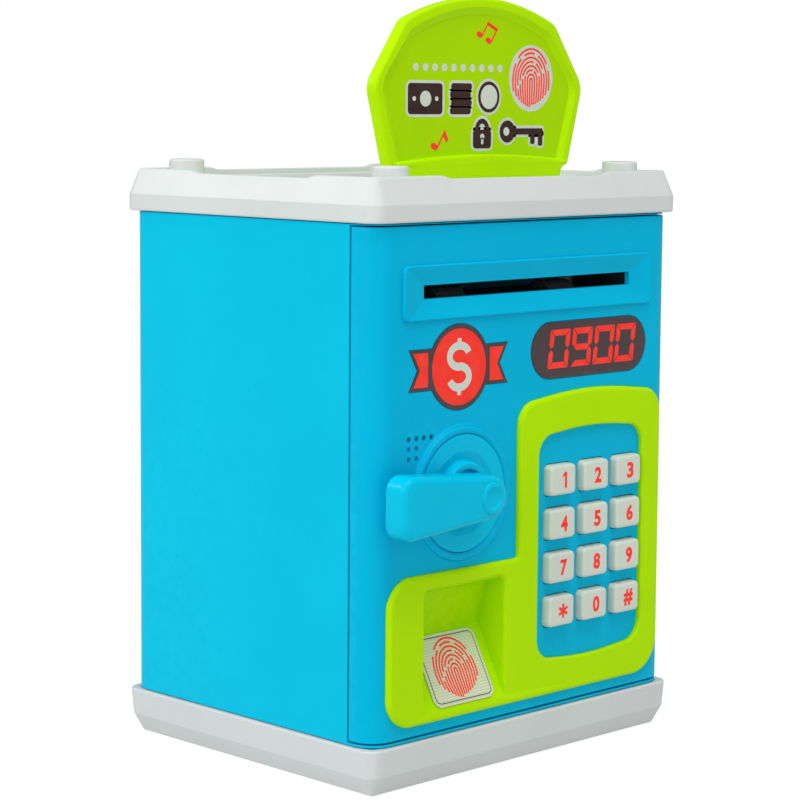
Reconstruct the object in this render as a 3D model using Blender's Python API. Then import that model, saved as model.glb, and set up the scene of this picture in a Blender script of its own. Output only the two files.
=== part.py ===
# Toy cash-machine savings bank: a money box with a hinged keypad door.
# Sizes are in millimetres and become metres where each mesh is made.
# The origin is the centre of the flat underside; the door faces -Y and +Z is up.

import math

import bmesh
import bpy

MM = 0.001
GAP = 0.3                     # clearance left between two separate pieces

# Whole box
BODY_WIDTH = 140.0
BODY_DEPTH = 117.0
WALL = 2.5
BODY_RADIUS = 8.0             # upright corners of the case and door
TRIM_OVERHANG = 1.5           # white lid and base stand proud of the blue body
TRIM_RADIUS = 5.0
HALF_W = BODY_WIDTH / 2
HALF_D = BODY_DEPTH / 2
FRONT = -HALF_D

# Heights
BASE_TOP = 15.0
CASE_LOW = 15.3
SILL_TOP = 16.0
DOOR_LOW = 16.6
DOOR_HIGH = 175.0
HEADER_LOW = 175.5
CASE_HIGH = 175.8
LID_LOW = 176.1
LID_BREAK = 181.6             # where the lid's sloping band starts
LID_TOP = 190.0
TRAY_FLOOR = 187.0
TONGUE_INSET = 2.1            # tongues of the case that plug into lid and base
TONGUE_LOW = 8.0
TONGUE_HIGH = 181.0
ROOM_LOW = 18.5                # the case is opened out to its full width between these
ROOM_HIGH = 172.5
POST_RADIUS = 4.2
POST_LOW = 7.2
POST_TOP = 19.5

# Door and hinge
SEAM = -48.3                  # rear edge of the door's side returns
CASE_START = -47.5            # front edge of the case's side walls
DOOR_INSIDE = FRONT + WALL
HINGE_X = 62.0
HINGE_Y = -50.5
HINGE_RELIEF = 8.6
PIN_RADIUS = 1.5
LIP_DEPTH = 2.4
LIP_EDGE = -63.5

# Handle and latch
DIAL_X = -32.0
DIAL_Z = 91.0
DIAL_RADIUS = 18.5
RING_OUTER = 21.3
RING_PROUD = 1.5
LEVER_FRONT = 14.0            # distance of the lever's face from the door
LEVER_BACK = 5.2
LEVER_LEFT = -70.5
BOLT_FRONT = -44.7
BOLT_BACK = -41.7
CAM_ARM = 4.2
CAM_PIN_RADIUS = 1.2

# Money slot and note feed
SLOT_HALF = 48.5
SLOT_LOW = 152.45
SLOT_HIGH = 156.75
SLOT_MIDDLE = (SLOT_LOW + SLOT_HIGH) / 2
BEZEL_PROUD = 1.2
FEED_Y = -43.0
FEED_ROLLER = 6.0
PRESS_ROLLER = 4.0
NIP = 0.4
FEED_Z = SLOT_MIDDLE - NIP / 2 - FEED_ROLLER
PRESS_Z = SLOT_MIDDLE + NIP / 2 + PRESS_ROLLER
GEAR_MODULE = 0.64
GEAR_TEETH = 30
PINION_TEETH = 12
GEAR_FROM_X = -57.0
GEAR_TO_X = -54.0
MOTOR_Z = FEED_Z - GEAR_MODULE * (GEAR_TEETH + PINION_TEETH) / 2

# Control panel and keypad
PANEL_PROUD = 1.7
POCKET_DEPTH = 0.6
KEY_FIRST_X = 13.2
KEY_PITCH_X = 16.4
KEY_ROWS_Z = (90.7, 76.3, 61.9, 47.5)
KEY_FACE = (11.8, 9.8)
KEY_BASE = (12.6, 10.2)
KEY_PROUD = 3.0
KEY_TRAVEL = 1.2
KEY_NAMES = (("1", "2", "3"), ("4", "5", "6"), ("7", "8", "9"), ("star", "0", "hash"))
BAY_LEFT = -48.8              # opening of the scanner bay
BAY_RIGHT = -12.6
BAY_WALL = 1.3
# Bay section, as (y, z): ceiling at the face, ceiling at the back, foot of the
# back wall, and the ramp's lower end at the face.
BAY_SECTION = ((-60.2, 62.4), (-51.7, 59.6), (-47.4, 46.9), (-60.2, 23.1))

# Sign on the lid
SIGN_FRONT = -36.0
SIGN_THICK = 4.5
SIGN_RIM = 3.8
SIGN_RECESS = 1.3
FOOT_PROUD = 1.2              # the foot stands this far in front of the sign

# Inner cover and batteries
COVER_BACK = -28.6
COVER_WALL = 2.0
COVER_BOX = (-61.0, 56.8, 19.6, 171.0)
CELL_RADIUS = 7.2
CELL_HALF = 25.2
CELL_Y = -36.3
CELLS_Z = (38.0, 54.0, 70.0)
COVER_SCREWS = ((-55.0, 27.0), (49.5, 27.0), (-55.0, 165.2), (49.5, 165.2))
POSTS = ((-61.0, -38.0), (61.0, -38.0), (-61.0, 49.5), (61.0, 49.5))


def clear_scene():
    for old in list(bpy.data.objects):
        bpy.data.objects.remove(old, do_unlink=True)


def plastic(name, colour, roughness, metallic=0.0):
    material = bpy.data.materials.new(name)
    material.use_nodes = True
    shader = material.node_tree.nodes["Principled BSDF"]
    shader.inputs["Base Color"].default_value = (*colour, 1.0)
    shader.inputs["Roughness"].default_value = roughness
    shader.inputs["Metallic"].default_value = metallic
    return material


# Outlines -------------------------------------------------------------------

def rounded_outline(corners, steps=4):
    # Corners are (x, y, radius) in order round the shape; each becomes an arc.
    points = []
    count = len(corners)
    for index, (x, y, radius) in enumerate(corners):
        if radius <= 0:
            points.append((x, y))
            continue
        before = corners[index - 1]
        after = corners[(index + 1) % count]
        ux, uy = before[0] - x, before[1] - y
        vx, vy = after[0] - x, after[1] - y
        u_length = math.hypot(ux, uy)
        v_length = math.hypot(vx, vy)
        ux, uy, vx, vy = ux / u_length, uy / u_length, vx / v_length, vy / v_length
        half_angle = math.acos(max(-1.0, min(1.0, ux * vx + uy * vy))) / 2
        reach = radius / math.tan(half_angle)
        mid_x, mid_y = ux + vx, uy + vy
        mid_length = math.hypot(mid_x, mid_y)
        to_centre = radius / math.sin(half_angle)
        cx = x + mid_x / mid_length * to_centre
        cy = y + mid_y / mid_length * to_centre
        start = math.atan2(y + uy * reach - cy, x + ux * reach - cx)
        end = math.atan2(y + vy * reach - cy, x + vx * reach - cx)
        sweep = (end - start + math.pi) % (2 * math.pi) - math.pi
        for step in range(steps + 1):
            angle = start + sweep * step / steps
            points.append((cx + radius * math.cos(angle), cy + radius * math.sin(angle)))
    return points


def rectangle(x_low, x_high, y_low, y_high, radius=0.0, steps=4):
    corners = [(x_low, y_low, radius), (x_high, y_low, radius),
               (x_high, y_high, radius), (x_low, y_high, radius)]
    return rounded_outline(corners, steps)


def plan(inset=0.0, radius=BODY_RADIUS, overhang=0.0):
    # Plan outline of the box, pulled in by inset.
    width = HALF_W + overhang - inset
    depth = HALF_D + overhang - inset
    return rectangle(-width, width, -depth, depth, max(radius - inset, 0.6))


def circle(x, y, radius, steps=16):
    return [(x + radius * math.cos(2 * math.pi * k / steps),
             y + radius * math.sin(2 * math.pi * k / steps)) for k in range(steps)]


def arch(start, end, rise, steps=8):
    # Points between start and end on a shallow parabola, ends left out.
    points = []
    for step in range(1, steps):
        t = step / steps
        x = start[0] + (end[0] - start[0]) * t
        y = start[1] + (end[1] - start[1]) * t + 4 * rise * t * (1 - t)
        points.append((x, y, 0.0))
    return points


def gear_outline(teeth, y, z, turn):
    # Straight-sided teeth, a little thin so that the pair runs with backlash.
    pitch_radius = GEAR_MODULE * teeth / 2
    tooth = 2 * math.pi / teeth
    root = pitch_radius - 1.15 * GEAR_MODULE
    tip = pitch_radius + 0.8 * GEAR_MODULE
    points = []
    for k in range(teeth):
        middle = turn + k * tooth
        for radius, offset in ((root, -0.33), (tip, -0.11), (tip, 0.11), (root, 0.33)):
            angle = middle + offset * tooth
            points.append((y + radius * math.cos(angle), z + radius * math.sin(angle)))
    return points


# Solids ---------------------------------------------------------------------

def place(axis, a, b, t):
    if axis == "Z":
        return (a * MM, b * MM, t * MM)
    if axis == "Y":
        return (a * MM, t * MM, b * MM)
    return (t * MM, a * MM, b * MM)


def loft(name, sections, axis, material, closed=False):
    # Sections are (outline, distance along the axis), joined one to the next.
    mesh = bmesh.new()
    rings = [[mesh.verts.new(place(axis, a, b, t)) for a, b in outline]
             for outline, t in sections]
    pairs = list(zip(rings, rings[1:]))
    if closed:
        pairs.append((rings[-1], rings[0]))
    for first, second in pairs:
        for k in range(len(first)):
            after = (k + 1) % len(first)
            mesh.faces.new((first[k], first[after], second[after], second[k]))
    if not closed:
        mesh.faces.new(rings[0])
        mesh.faces.new(rings[-1])
    bmesh.ops.recalc_face_normals(mesh, faces=mesh.faces)
    data = bpy.data.meshes.new(name)
    mesh.to_mesh(data)
    mesh.free()
    data.materials.append(material)
    result = bpy.data.objects.new(name, data)
    bpy.context.scene.collection.objects.link(result)
    return result


def slab(name, outline, axis, low, high, material):
    return loft(name, [(outline, low), (outline, high)], axis, material)


def block(name, x, y, z, material):
    return slab(name, rectangle(x[0], x[1], y[0], y[1]), "Z", z[0], z[1], material)


def turned(name, a, b, profile, axis, material, steps=16, closed=False):
    # Profile is (radius, distance along the axis) from one end to the other.
    sections = [(circle(a, b, radius, steps), t) for radius, t in profile]
    return loft(name, sections, axis, material, closed)


def combine(target, tools, operation):
    for tool in tools:
        step = target.modifiers.new(operation.lower(), "BOOLEAN")
        step.operation = operation
        step.solver = "EXACT"
        step.object = tool
        bpy.context.view_layer.update()
        shape = target.evaluated_get(bpy.context.evaluated_depsgraph_get())
        finished = bpy.data.meshes.new_from_object(shape)
        target.modifiers.clear()
        target.data = finished
        finished.name = target.name
        bpy.data.objects.remove(tool, do_unlink=True)
    return target


def add(target, *tools):
    return combine(target, tools, "UNION")


def cut(target, *tools):
    return combine(target, tools, "DIFFERENCE")


def soften(piece, angle=35.0):
    piece.data.shade_smooth()
    piece.data.set_sharp_from_angle(angle=math.radians(angle))
    return piece


def set_origin(piece, x, y, z):
    # Moves the object's origin to a joint's axis and leaves the shape in place.
    for vertex in piece.data.vertices:
        vertex.co.x -= x * MM
        vertex.co.y -= y * MM
        vertex.co.z -= z * MM
    piece.location = (x * MM, y * MM, z * MM)
    return piece


# Case, base, lid and sign ---------------------------------------------------

def make_casing(blue):
    casing = slab("casing", plan(), "Z", CASE_LOW, CASE_HIGH, blue)
    tongue = slab("tongue", plan(TONGUE_INSET), "Z", TONGUE_LOW, TONGUE_HIGH, blue)
    add(casing, tongue)
    cut(casing,
        slab("bore", plan(TONGUE_INSET + 2.0), "Z", -5, 200, blue),
        slab("room", plan(WALL), "Z", ROOM_LOW, ROOM_HIGH, blue),
        block("doorway", (-90, 90), (-90, CASE_START), (SILL_TOP, HEADER_LOW), blue))
    front_edge = FRONT + TONGUE_INSET + 0.5
    add(casing,
        block("sill", (-66.5, 66.5), (front_edge, -44), (11.5, SILL_TOP), blue),
        block("header", (-66.5, 66.5), (front_edge, -44), (HEADER_LOW, 179.0), blue),
        block("lip", (-67.8, LIP_EDGE), (CASE_START, CASE_START + LIP_DEPTH),
              (SILL_TOP - 1, HEADER_LOW + 1), blue))
    for x, y in POSTS:
        side = math.copysign(1.0, x)
        near, far = sorted((x, side * 66.8))
        add(casing, block("rib", (near, far), (y - 1.0, y + 1.0), (9.5, POST_TOP), blue),
            turned("post", x, y, ((POST_RADIUS, POST_LOW), (POST_RADIUS, POST_TOP)),
                   "Z", blue, 16))
        cut(casing, turned("pilot", x, y, ((1.6, 5), (1.6, 17.0)), "Z", blue, 12))
    relief = turned("relief", HINGE_X, HINGE_Y,
                    ((HINGE_RELIEF, SILL_TOP), (HINGE_RELIEF, HEADER_LOW)), "Z", blue, 32)
    pin_hole = turned("pin_hole", HINGE_X, HINGE_Y,
                      ((PIN_RADIUS + GAP, 5), (PIN_RADIUS + GAP, 200)), "Z", blue, 16)
    cut(casing, relief, pin_hole)
    return soften(casing)


def make_base(white):
    def band(inset):
        return plan(inset, TRIM_RADIUS, TRIM_OVERHANG)

    base = loft("base_tray", [(band(4.2), 0.0), (band(0.8), 6.2), (band(0.0), BASE_TOP)],
                "Z", white)
    fit = TRIM_OVERHANG + TONGUE_INSET - GAP
    cut(base, loft("room", [(band(6.4), 2.5), (band(fit), 6.9), (band(fit), 30)], "Z", white))
    for x, y in POSTS:
        add(base, turned("boss", x, y, ((5.4, 1.0), (5.4, 6.7)), "Z", white, 20))
        cut(base, turned("sink", x, y, ((3.5, -2), (3.5, 3.2)), "Z", white, 16),
            turned("clearance", x, y, ((1.9, 1), (1.9, 12)), "Z", white, 12))
    return soften(base)


def dip_cutter(half, axis, material):
    # Wide shallow dip in the lid's rim, cut right across from side to side.
    top = LID_TOP + 2
    depth = LID_TOP - 1.0
    outline = [(-half - 12, top), (-half - 2, LID_TOP), (-half + 2, depth),
               (half - 2, depth), (half + 2, LID_TOP), (half + 12, top)]
    return slab("dip", outline, axis, -90, 90, material)


def make_lid(white):
    def band(inset):
        return plan(inset, TRIM_RADIUS, TRIM_OVERHANG)

    lid = loft("top_cap", [(band(0.0), LID_LOW), (band(0.0), LID_BREAK), (band(3.4), LID_TOP)],
               "Z", white)
    fit = TRIM_OVERHANG + TONGUE_INSET - GAP
    cut(lid,
        loft("room", [(band(fit), 170), (band(fit), TONGUE_HIGH + 0.4), (band(6.0), 184.8)],
             "Z", white),
        slab("tray", band(6.2), "Z", TRAY_FLOOR, 200, white),
        dip_cutter(37, "Y", white),
        dip_cutter(28, "X", white))
    for x in (-54, 54):
        for y in (-48.3, 48.3):
            add(lid, turned("pip", x, y, ((6.0, 186.0), (6.0, 192.2), (5.2, 193.0)),
                            "Z", white, 20))
    cut(lid, block("coin_slot", (-17, 17), (14.0, 19.0), (180, 200), white))
    for x in (-27, 27):
        cut(lid, block("socket", (x - 5.3, x + 5.3), (SIGN_FRONT + 0.4, SIGN_FRONT + 3.4),
                       (180, 200), white))
    return soften(lid)


def sign_outline(inset):
    # Arched top, shoulders, widest point, waist and foot, each pulled in by inset.
    def side(sign):
        return [(sign * (42.0 - inset), 191.8 + inset, 1.2),
                (sign * (49.0 - inset), 218.0, 8.0),
                (sign * (35.0 - inset * 0.7), 238.2 - inset, 5.0)]

    crown_low = 238.2 - inset
    crown = arch((35.0 - inset * 0.7, crown_low), (-35.0 + inset * 0.7, crown_low), 7.8, 12)
    return rounded_outline(side(1) + crown + side(-1)[::-1], 4)


def make_sign(lime):
    back = SIGN_FRONT + SIGN_THICK
    sign = loft("topper_sign",
                [(sign_outline(1.1), SIGN_FRONT), (sign_outline(0.0), SIGN_FRONT + 1.1),
                 (sign_outline(0.0), back - 0.8), (sign_outline(0.8), back)], "Y", lime)
    panel = loft("panel", [(sign_outline(SIGN_RIM - 0.6), SIGN_FRONT - 1),
                           (sign_outline(SIGN_RIM + 0.4), SIGN_FRONT + SIGN_RECESS)], "Y", lime)
    cut(sign, panel)
    foot_corners = [(-36.5, TRAY_FLOOR + GAP, 0), (36.5, TRAY_FLOOR + GAP, 0),
                    (37.5, 190.5, 0), (41.0, 193.4, 0)]
    foot_corners += arch((41.0, 193.4), (-41.0, 193.4), 2.4, 8)
    foot_corners += [(-41.0, 193.4, 0), (-37.5, 190.5, 0)]
    add(sign, slab("foot", rounded_outline(foot_corners), "Y",
                   SIGN_FRONT - FOOT_PROUD, back - 0.1, lime))
    for x in (-27, 27):
        add(sign, block("tab", (x - 5, x + 5), (SIGN_FRONT + 0.7, SIGN_FRONT + 3.1),
                        (182.5, 190), lime))
    return soften(sign)


def make_base_screws(steel):
    for index, (x, y) in enumerate(POSTS):
        soften(turned("base_screw_%d" % (index + 1), x, y,
                      ((2.4, 0.9), (3.1, 1.5), (3.1, 2.9), (1.3, 2.9), (1.3, 15.5), (0.4, 16.7)),
                      "Z", steel, 12))


def make_hinge_pins(steel):
    soften(turned("hinge_pin_lower", HINGE_X, HINGE_Y,
                  ((3.0, 9.4), (3.0, 11.2), (PIN_RADIUS, 11.2), (PIN_RADIUS, 25.0)),
                  "Z", steel, 14))
    soften(turned("hinge_pin_upper", HINGE_X, HINGE_Y,
                  ((PIN_RADIUS, 166.6), (PIN_RADIUS, 179.3), (3.0, 179.3), (3.0, 180.6)),
                  "Z", steel, 14))


# Door -----------------------------------------------------------------------

def panel_outline(grow=0.0):
    # Keypad field on the right with a lobe for the scanner on the lower left.
    left, right, low, top = -64.2 - grow, 63.8 + grow, 20.0 - grow, 116.6 + grow
    waist, lobe_top = -6.3 - grow, 67.2 + grow
    corners = [(left, low, 10.0), (right, low, 12.0), (right, top, 8.0)]
    corners += arch((right - 14, top + 1.6), (waist + 14, top + 1.6), 1.4, 6)
    corners += [(waist, top, 8.0), (waist, lobe_top, 0.5), (left, lobe_top, 10.0)]
    return rounded_outline(corners)


def keypad_outline():
    left, right, low, top = 3.1, 54.3, 32.8, 105.2
    corners = [(left, low, 7.0)]
    corners += arch((left + 7.5, low - 0.6), (right - 7.5, low - 0.6), -1.2, 6)
    corners += [(right, low, 7.0), (right, top, 7.0)]
    corners += arch((right - 7.5, top + 0.6), (left + 7.5, top + 0.6), 1.3, 6)
    corners += [(left, top, 7.0)]
    return rounded_outline(corners)


def key_centres():
    for row, z in enumerate(KEY_ROWS_Z):
        for column in range(3):
            yield KEY_NAMES[row][column], KEY_FIRST_X + column * KEY_PITCH_X, z


def make_door(blue):
    door = slab("front_door", rectangle(-HALF_W, HALF_W, FRONT, 0, BODY_RADIUS, 8),
                "Z", DOOR_LOW, DOOR_HIGH, blue)
    cut(door,
        slab("room", rectangle(-HALF_W + WALL, HALF_W - WALL, DOOR_INSIDE, 10,
                               BODY_RADIUS - WALL, 6),
             "Z", DOOR_LOW + WALL, DOOR_HIGH - WALL, blue),
        block("behind", (-90, 90), (SEAM, 90), (0, 200), blue))
    boss = HINGE_X, HINGE_Y
    add(door,
        turned("knuckle_low", *boss, ((4.6, DOOR_LOW + 0.5), (4.6, 27.0)), "Z", blue, 20),
        turned("knuckle_high", *boss, ((4.6, 165.0), (4.6, DOOR_HIGH - 0.5)), "Z", blue, 20))
    cut(door, turned("pivot", *boss, ((PIN_RADIUS + GAP, 5), (PIN_RADIUS + GAP, 200)),
                     "Z", blue, 16))
    add_bezel(door, blue)
    add_dial_seat(door, blue)
    cut_panel_openings(door, blue)
    add_door_bosses(door, blue)
    return soften(door)


def add_bezel(door, blue):
    low, high = 145.9, 163.1
    face = FRONT - BEZEL_PROUD
    add(door, loft("bezel", [(rectangle(-58.5, 58.5, low, high, 2.4), FRONT + 0.5),
                             (rectangle(-58.5, 58.5, low, high, 2.4), FRONT - 0.3),
                             (rectangle(-57.6, 57.6, low + 0.9, high - 0.9, 1.6), face)],
                   "Y", blue))
    cut(door,
        loft("funnel", [(rectangle(-60.0, 60.0, low - 1.5, high + 1.5, 1.6), face - 0.65),
                        (rectangle(-SLOT_HALF - 0.6, SLOT_HALF + 0.6, SLOT_LOW - 0.4,
                                   SLOT_HIGH + 0.4, 0.3), FRONT + 0.6)], "Y", blue),
        block("slot", (-SLOT_HALF, SLOT_HALF), (-80, -50), (SLOT_LOW, SLOT_HIGH), blue))


def add_dial_seat(door, blue):
    centre = DIAL_X, DIAL_Z
    face = FRONT - RING_PROUD
    add(door, turned("ring", *centre, ((RING_OUTER, FRONT + 0.5), (RING_OUTER, FRONT - 0.5),
                                       (RING_OUTER - 0.9, face)), "Y", blue, 32))
    cut(door,
        turned("seat", *centre, ((DIAL_RADIUS + 0.3, -80), (DIAL_RADIUS + 0.3, FRONT + 1.0)),
               "Y", blue, 32),
        turned("bearing", *centre, ((4.6, -80), (4.6, -50)), "Y", blue, 20))
    for index in range(4):
        x = -55.0 + index * 3.27
        cut(door, turned("sound_hole", x, 109.8, ((0.85, -70), (0.85, -50)), "Y", blue, 8))


def cut_panel_openings(door, blue):
    pocket = FRONT + POCKET_DEPTH
    cut(door,
        slab("pocket", panel_outline(GAP), "Y", -70, pocket, blue))
    add(door, slab("island", keypad_outline(), "Y", FRONT, pocket + 0.5, blue))
    grow = BAY_WALL + GAP
    cut(door, block("bay", (BAY_LEFT - grow, BAY_RIGHT + grow), (-70, -50),
                    (BAY_SECTION[3][1] + GAP / 2, BAY_SECTION[0][1] + 2.0), blue))
    for name, x, z in key_centres():
        half_x = KEY_BASE[0] / 2 + 0.35
        half_z = KEY_BASE[1] / 2 + 0.35
        cut(door, slab("key_hole", rectangle(x - half_x, x + half_x, z - half_z, z + half_z,
                                             1.8, 2), "Y", -70, -50, blue))
    cut(door,
        slab("display_seat", rectangle(-0.3, 56.9, 123.5, 142.4, 9.3, 6), "Y",
             -70, FRONT + 0.5, blue),
        slab("badge_seat", badge_outline(0.3), "Y", -70, FRONT + 0.5, blue))


def add_door_bosses(door, blue):
    for x, z in COVER_SCREWS:
        add(door, turned("boss", x, z, ((3.4, DOOR_INSIDE - 0.5), (3.4, -31.2)), "Y", blue, 16))
        cut(door, turned("pilot", x, z, ((1.5, -46), (1.5, -20)), "Y", blue, 12))
    for low, high in ((81.6, 83.2), (90.9, 92.5)):
        add(door, block("bolt_guide", (-55, -50), (DOOR_INSIDE - 0.5, -41.4), (low, high), blue))


def badge_outline(grow=0.0):
    # Round medal with a swallow-tailed ribbon end on each side.
    centre_x, centre_z, radius = -33.3, 130.7, 13.4 + grow
    tip, notch, half = 22.0 + grow, 18.2 + grow, 6.3 + grow
    meet = 28.0
    points = []
    for side, first in ((-1, meet), (1, 180.0 + meet)):
        for step in range(11):
            angle = math.radians(first + (180.0 - 2 * meet) * step / 10)
            points.append((centre_x + radius * math.cos(angle),
                           centre_z + radius * math.sin(angle)))
        for across, up in ((tip, half), (notch, 0.0), (tip, -half)):
            points.append((centre_x + side * across, centre_z - side * up))
    return points


def make_panel(lime):
    face = FRONT - PANEL_PROUD
    back = FRONT + POCKET_DEPTH - GAP
    panel = loft("control_panel", [(panel_outline(), back), (panel_outline(), face + 0.8),
                                   (panel_outline(-0.8), face)], "Y", lime)
    cut(panel, slab("keypad_window", keypad_window(), "Y", -80, -40, lime))
    ceiling, back_top, back_foot, ramp_end = BAY_SECTION
    outside = [(back - 0.2, ramp_end[1] + 0.7), (back - 0.2, ceiling[1] + BAY_WALL),
               (back_top[0] + 0.7, back_top[1] + BAY_WALL + 0.2),
               (back_foot[0] + BAY_WALL + 0.2, back_foot[1] + 0.3),
               (back + 0.6, ramp_end[1] + 2.1)]
    add(panel, slab("bay_outside", outside, "X", BAY_LEFT - BAY_WALL, BAY_RIGHT + BAY_WALL, lime))
    inside = [(-80, ramp_end[1]), (-80, ceiling[1]), *BAY_SECTION]
    cut(panel, slab("bay_inside", inside, "X", BAY_LEFT, BAY_RIGHT, lime))
    return soften(panel)


def keypad_window():
    # The window is a touch wider than the island of door plastic behind it.
    island = keypad_outline()
    cx = sum(x for x, _ in island) / len(island)
    cz = sum(z for _, z in island) / len(island)
    grown = []
    for x, z in island:
        grown.append((x + math.copysign(GAP, x - cx), z + math.copysign(GAP, z - cz)))
    return grown


def make_labels(dark, red, sage):
    soften(slab("display_label", rectangle(0.0, 56.6, 123.8, 142.1, 9.0, 6), "Y",
                FRONT - 0.1, FRONT + 0.2, dark))
    soften(slab("badge_label", badge_outline(0.0), "Y", FRONT - 0.1, FRONT + 0.2, red))
    # The scanner label lies on the bay's ramp, which runs down and forward.
    (top_y, top_z), (foot_y, foot_z) = BAY_SECTION[2:]
    length = math.hypot(top_y - foot_y, top_z - foot_z)
    along = (top_y - foot_y) / length, (top_z - foot_z) / length
    out = -along[1], along[0]

    def on_ramp(distance, lift):
        return (foot_y + along[0] * distance + out[0] * lift,
                foot_z + along[1] * distance + out[1] * lift)

    section = [on_ramp(1.0, 0.3), on_ramp(length - 2.6, 0.3),
               on_ramp(length - 2.6, 0.6), on_ramp(1.0, 0.6)]
    soften(slab("scanner_label", section, "X", -43.6, -16.6, sage))


def make_keys(white):
    rear = DOOR_INSIDE + 0.3
    for name, x, z in key_centres():
        def outline(size, grow=0.0):
            half_x, half_z = size[0] / 2 + grow, size[1] / 2 + grow
            return rectangle(x - half_x, x + half_x, z - half_z, z + half_z, 1.6, 2)

        key = loft("key_" + name,
                   [(outline(KEY_BASE, 0.9), rear + 1.0), (outline(KEY_BASE, 0.9), rear),
                    (outline(KEY_BASE), rear), (outline(KEY_BASE), FRONT - 0.2),
                    (outline(KEY_FACE, 0.3), FRONT - KEY_PROUD + 0.5),
                    (outline(KEY_FACE, -0.4), FRONT - KEY_PROUD)], "Y", white)
        set_origin(soften(key), x, FRONT, z)


def make_boards(rubber, green, dark):
    slab("keypad_mat", rectangle(3.5, 54.5, 39.0, 98.5, 3.0, 4), "Y", -53.3, -52.3, rubber)
    slab("keypad_board", rectangle(2.5, 54.0, 36.0, 101.0, 1.0, 2), "Y", -52.0, -50.4, green)
    board = slab("main_board", rectangle(-4.0, 48.0, 104.0, 136.0, 1.0, 2), "Y",
                 -50.4, -48.8, green)
    add(board, block("chip", (12, 24), (-49.2, -47.4), (114, 126), dark),
        block("socket", (34, 42), (-49.2, -44.0), (108, 116), dark))


def make_speaker(dark):
    return soften(turned("speaker", -47.5, 113.0,
                         ((10.5, -55.3), (10.5, -53.8), (8.0, -51.2), (5.5, -51.0),
                          (5.5, -47.6)), "Y", dark, 20))


# Handle and latch -----------------------------------------------------------

def make_dial(blue):
    centre = DIAL_X, DIAL_Z
    back = FRONT + 0.7
    disc = turned("dial_disc", *centre,
                  ((DIAL_RADIUS - 0.1, back), (DIAL_RADIUS - 0.1, FRONT - 0.9),
                   (DIAL_RADIUS - 0.7, FRONT - 1.4), (13.4, FRONT - 1.4), (10.9, FRONT - 0.3),
                   (10.4, FRONT - 0.3), (9.8, FRONT - 3.3), (7.6, FRONT - 3.3),
                   (7.4, FRONT - 0.5)),
                  "Y", blue, 32)
    cut(disc, turned("stem_hole", *centre, ((4.6, -80), (4.6, -40)), "Y", blue, 20))
    return set_origin(soften(disc), DIAL_X, FRONT, DIAL_Z)


def lever_outline(inset):
    # Paddle seen from the front: wide rounded outer end, round end at the pivot.
    left = LEVER_LEFT + inset
    wide = 10.3 - inset
    narrow = 6.6 - inset
    corners = [(left, DIAL_Z - wide, 5.0), (DIAL_X, DIAL_Z - narrow - 0.6, 3.0)]
    for step in range(7):
        angle = math.radians(-75 + 150 * step / 6)
        corners.append((DIAL_X + (7.0 - inset) * math.cos(angle),
                        DIAL_Z + (7.0 - inset) * math.sin(angle), 0.0))
    corners += [(DIAL_X, DIAL_Z + narrow + 0.6, 3.0), (left, DIAL_Z + wide, 5.0)]
    return rounded_outline(corners, 4)


def make_lever(blue):
    face = FRONT - LEVER_FRONT
    back = FRONT - LEVER_BACK
    lever = loft("handle_lever", [(lever_outline(1.0), back), (lever_outline(0.0), back - 1.2),
                                  (lever_outline(0.0), face + 2.2), (lever_outline(0.7), face + 0.7),
                                  (lever_outline(2.0), face)], "Y", blue)
    centre = DIAL_X, DIAL_Z
    add(lever, turned("stem", *centre, ((4.2, back - 2), (4.2, -52.4)), "Y", blue, 20))
    cut(lever,
        turned("cap_seat", *centre, ((5.6, -90), (5.6, face + 2.0)), "Y", blue, 24),
        turned("screw_seat", *centre, ((3.1, -90), (3.1, face + 5.0)), "Y", blue, 16),
        turned("bore", *centre, ((1.7, -90), (1.7, -40)), "Y", blue, 12))
    set_origin(soften(lever), DIAL_X, FRONT, DIAL_Z)
    cap = turned("handle_cap", *centre, ((5.3, face + 1.7), (5.3, face + 0.1),
                                         (4.6, face - 0.5), (3.0, face - 0.7)), "Y", blue, 24)
    set_origin(soften(cap), DIAL_X, FRONT, DIAL_Z)


def make_latch(dark, steel):
    centre = DIAL_X, DIAL_Z
    cam = turned("latch_cam", *centre, ((8.0, -48.6), (8.0, -45.4)), "Y", dark, 24)
    swing = CAM_ARM * math.sin(math.radians(45))
    pin = DIAL_X - swing, DIAL_Z - swing
    add(cam, turned("hub", *centre, ((4.2, -52.0), (4.2, -48.0)), "Y", dark, 16),
        turned("pin", *pin, ((CAM_PIN_RADIUS, -46), (CAM_PIN_RADIUS, -42.0)), "Y", dark, 12))
    cut(cam, turned("pilot", *centre, ((1.3, -60), (1.3, -46.6)), "Y", dark, 12))
    set_origin(soften(cam), DIAL_X, FRONT, DIAL_Z)

    bolt = block("latch_bolt", (-66.8, -24.0), (BOLT_FRONT, BOLT_BACK), (83.5, 90.6), steel)
    slot_half = CAM_PIN_RADIUS + 0.45
    cut(bolt, block("yoke", (pin[0] - slot_half, pin[0] + slot_half), (-50, -40),
                    (85.1, 89.7), steel),
        block("notch", (-47.6, -42.4), (-50, -40), (80, 86.2), steel))
    soften(bolt)

    solenoid = block("lock_solenoid", (-51, -39), (-45.0, -36.2), (66.0, 79.5), dark)
    cut(solenoid, turned("core", -45, -43.0, ((1.9, 68), (1.9, 90)), "Z", dark, 16))
    soften(solenoid)
    plunger = turned("lock_plunger", -45, -43.0, ((1.5, 71.2), (1.5, 83.0)), "Z", steel, 16)
    set_origin(soften(plunger), -45, -43.0, 83.0)
    screw_face = FRONT - LEVER_FRONT
    screw = turned("handle_screw", *centre, ((2.7, screw_face + 2.6), (2.7, screw_face + 4.6),
                                             (1.0, screw_face + 4.6), (1.0, -47.2)),
                   "Y", steel, 12)
    set_origin(soften(screw), DIAL_X, FRONT, DIAL_Z)


# Note feed ------------------------------------------------------------------

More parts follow.
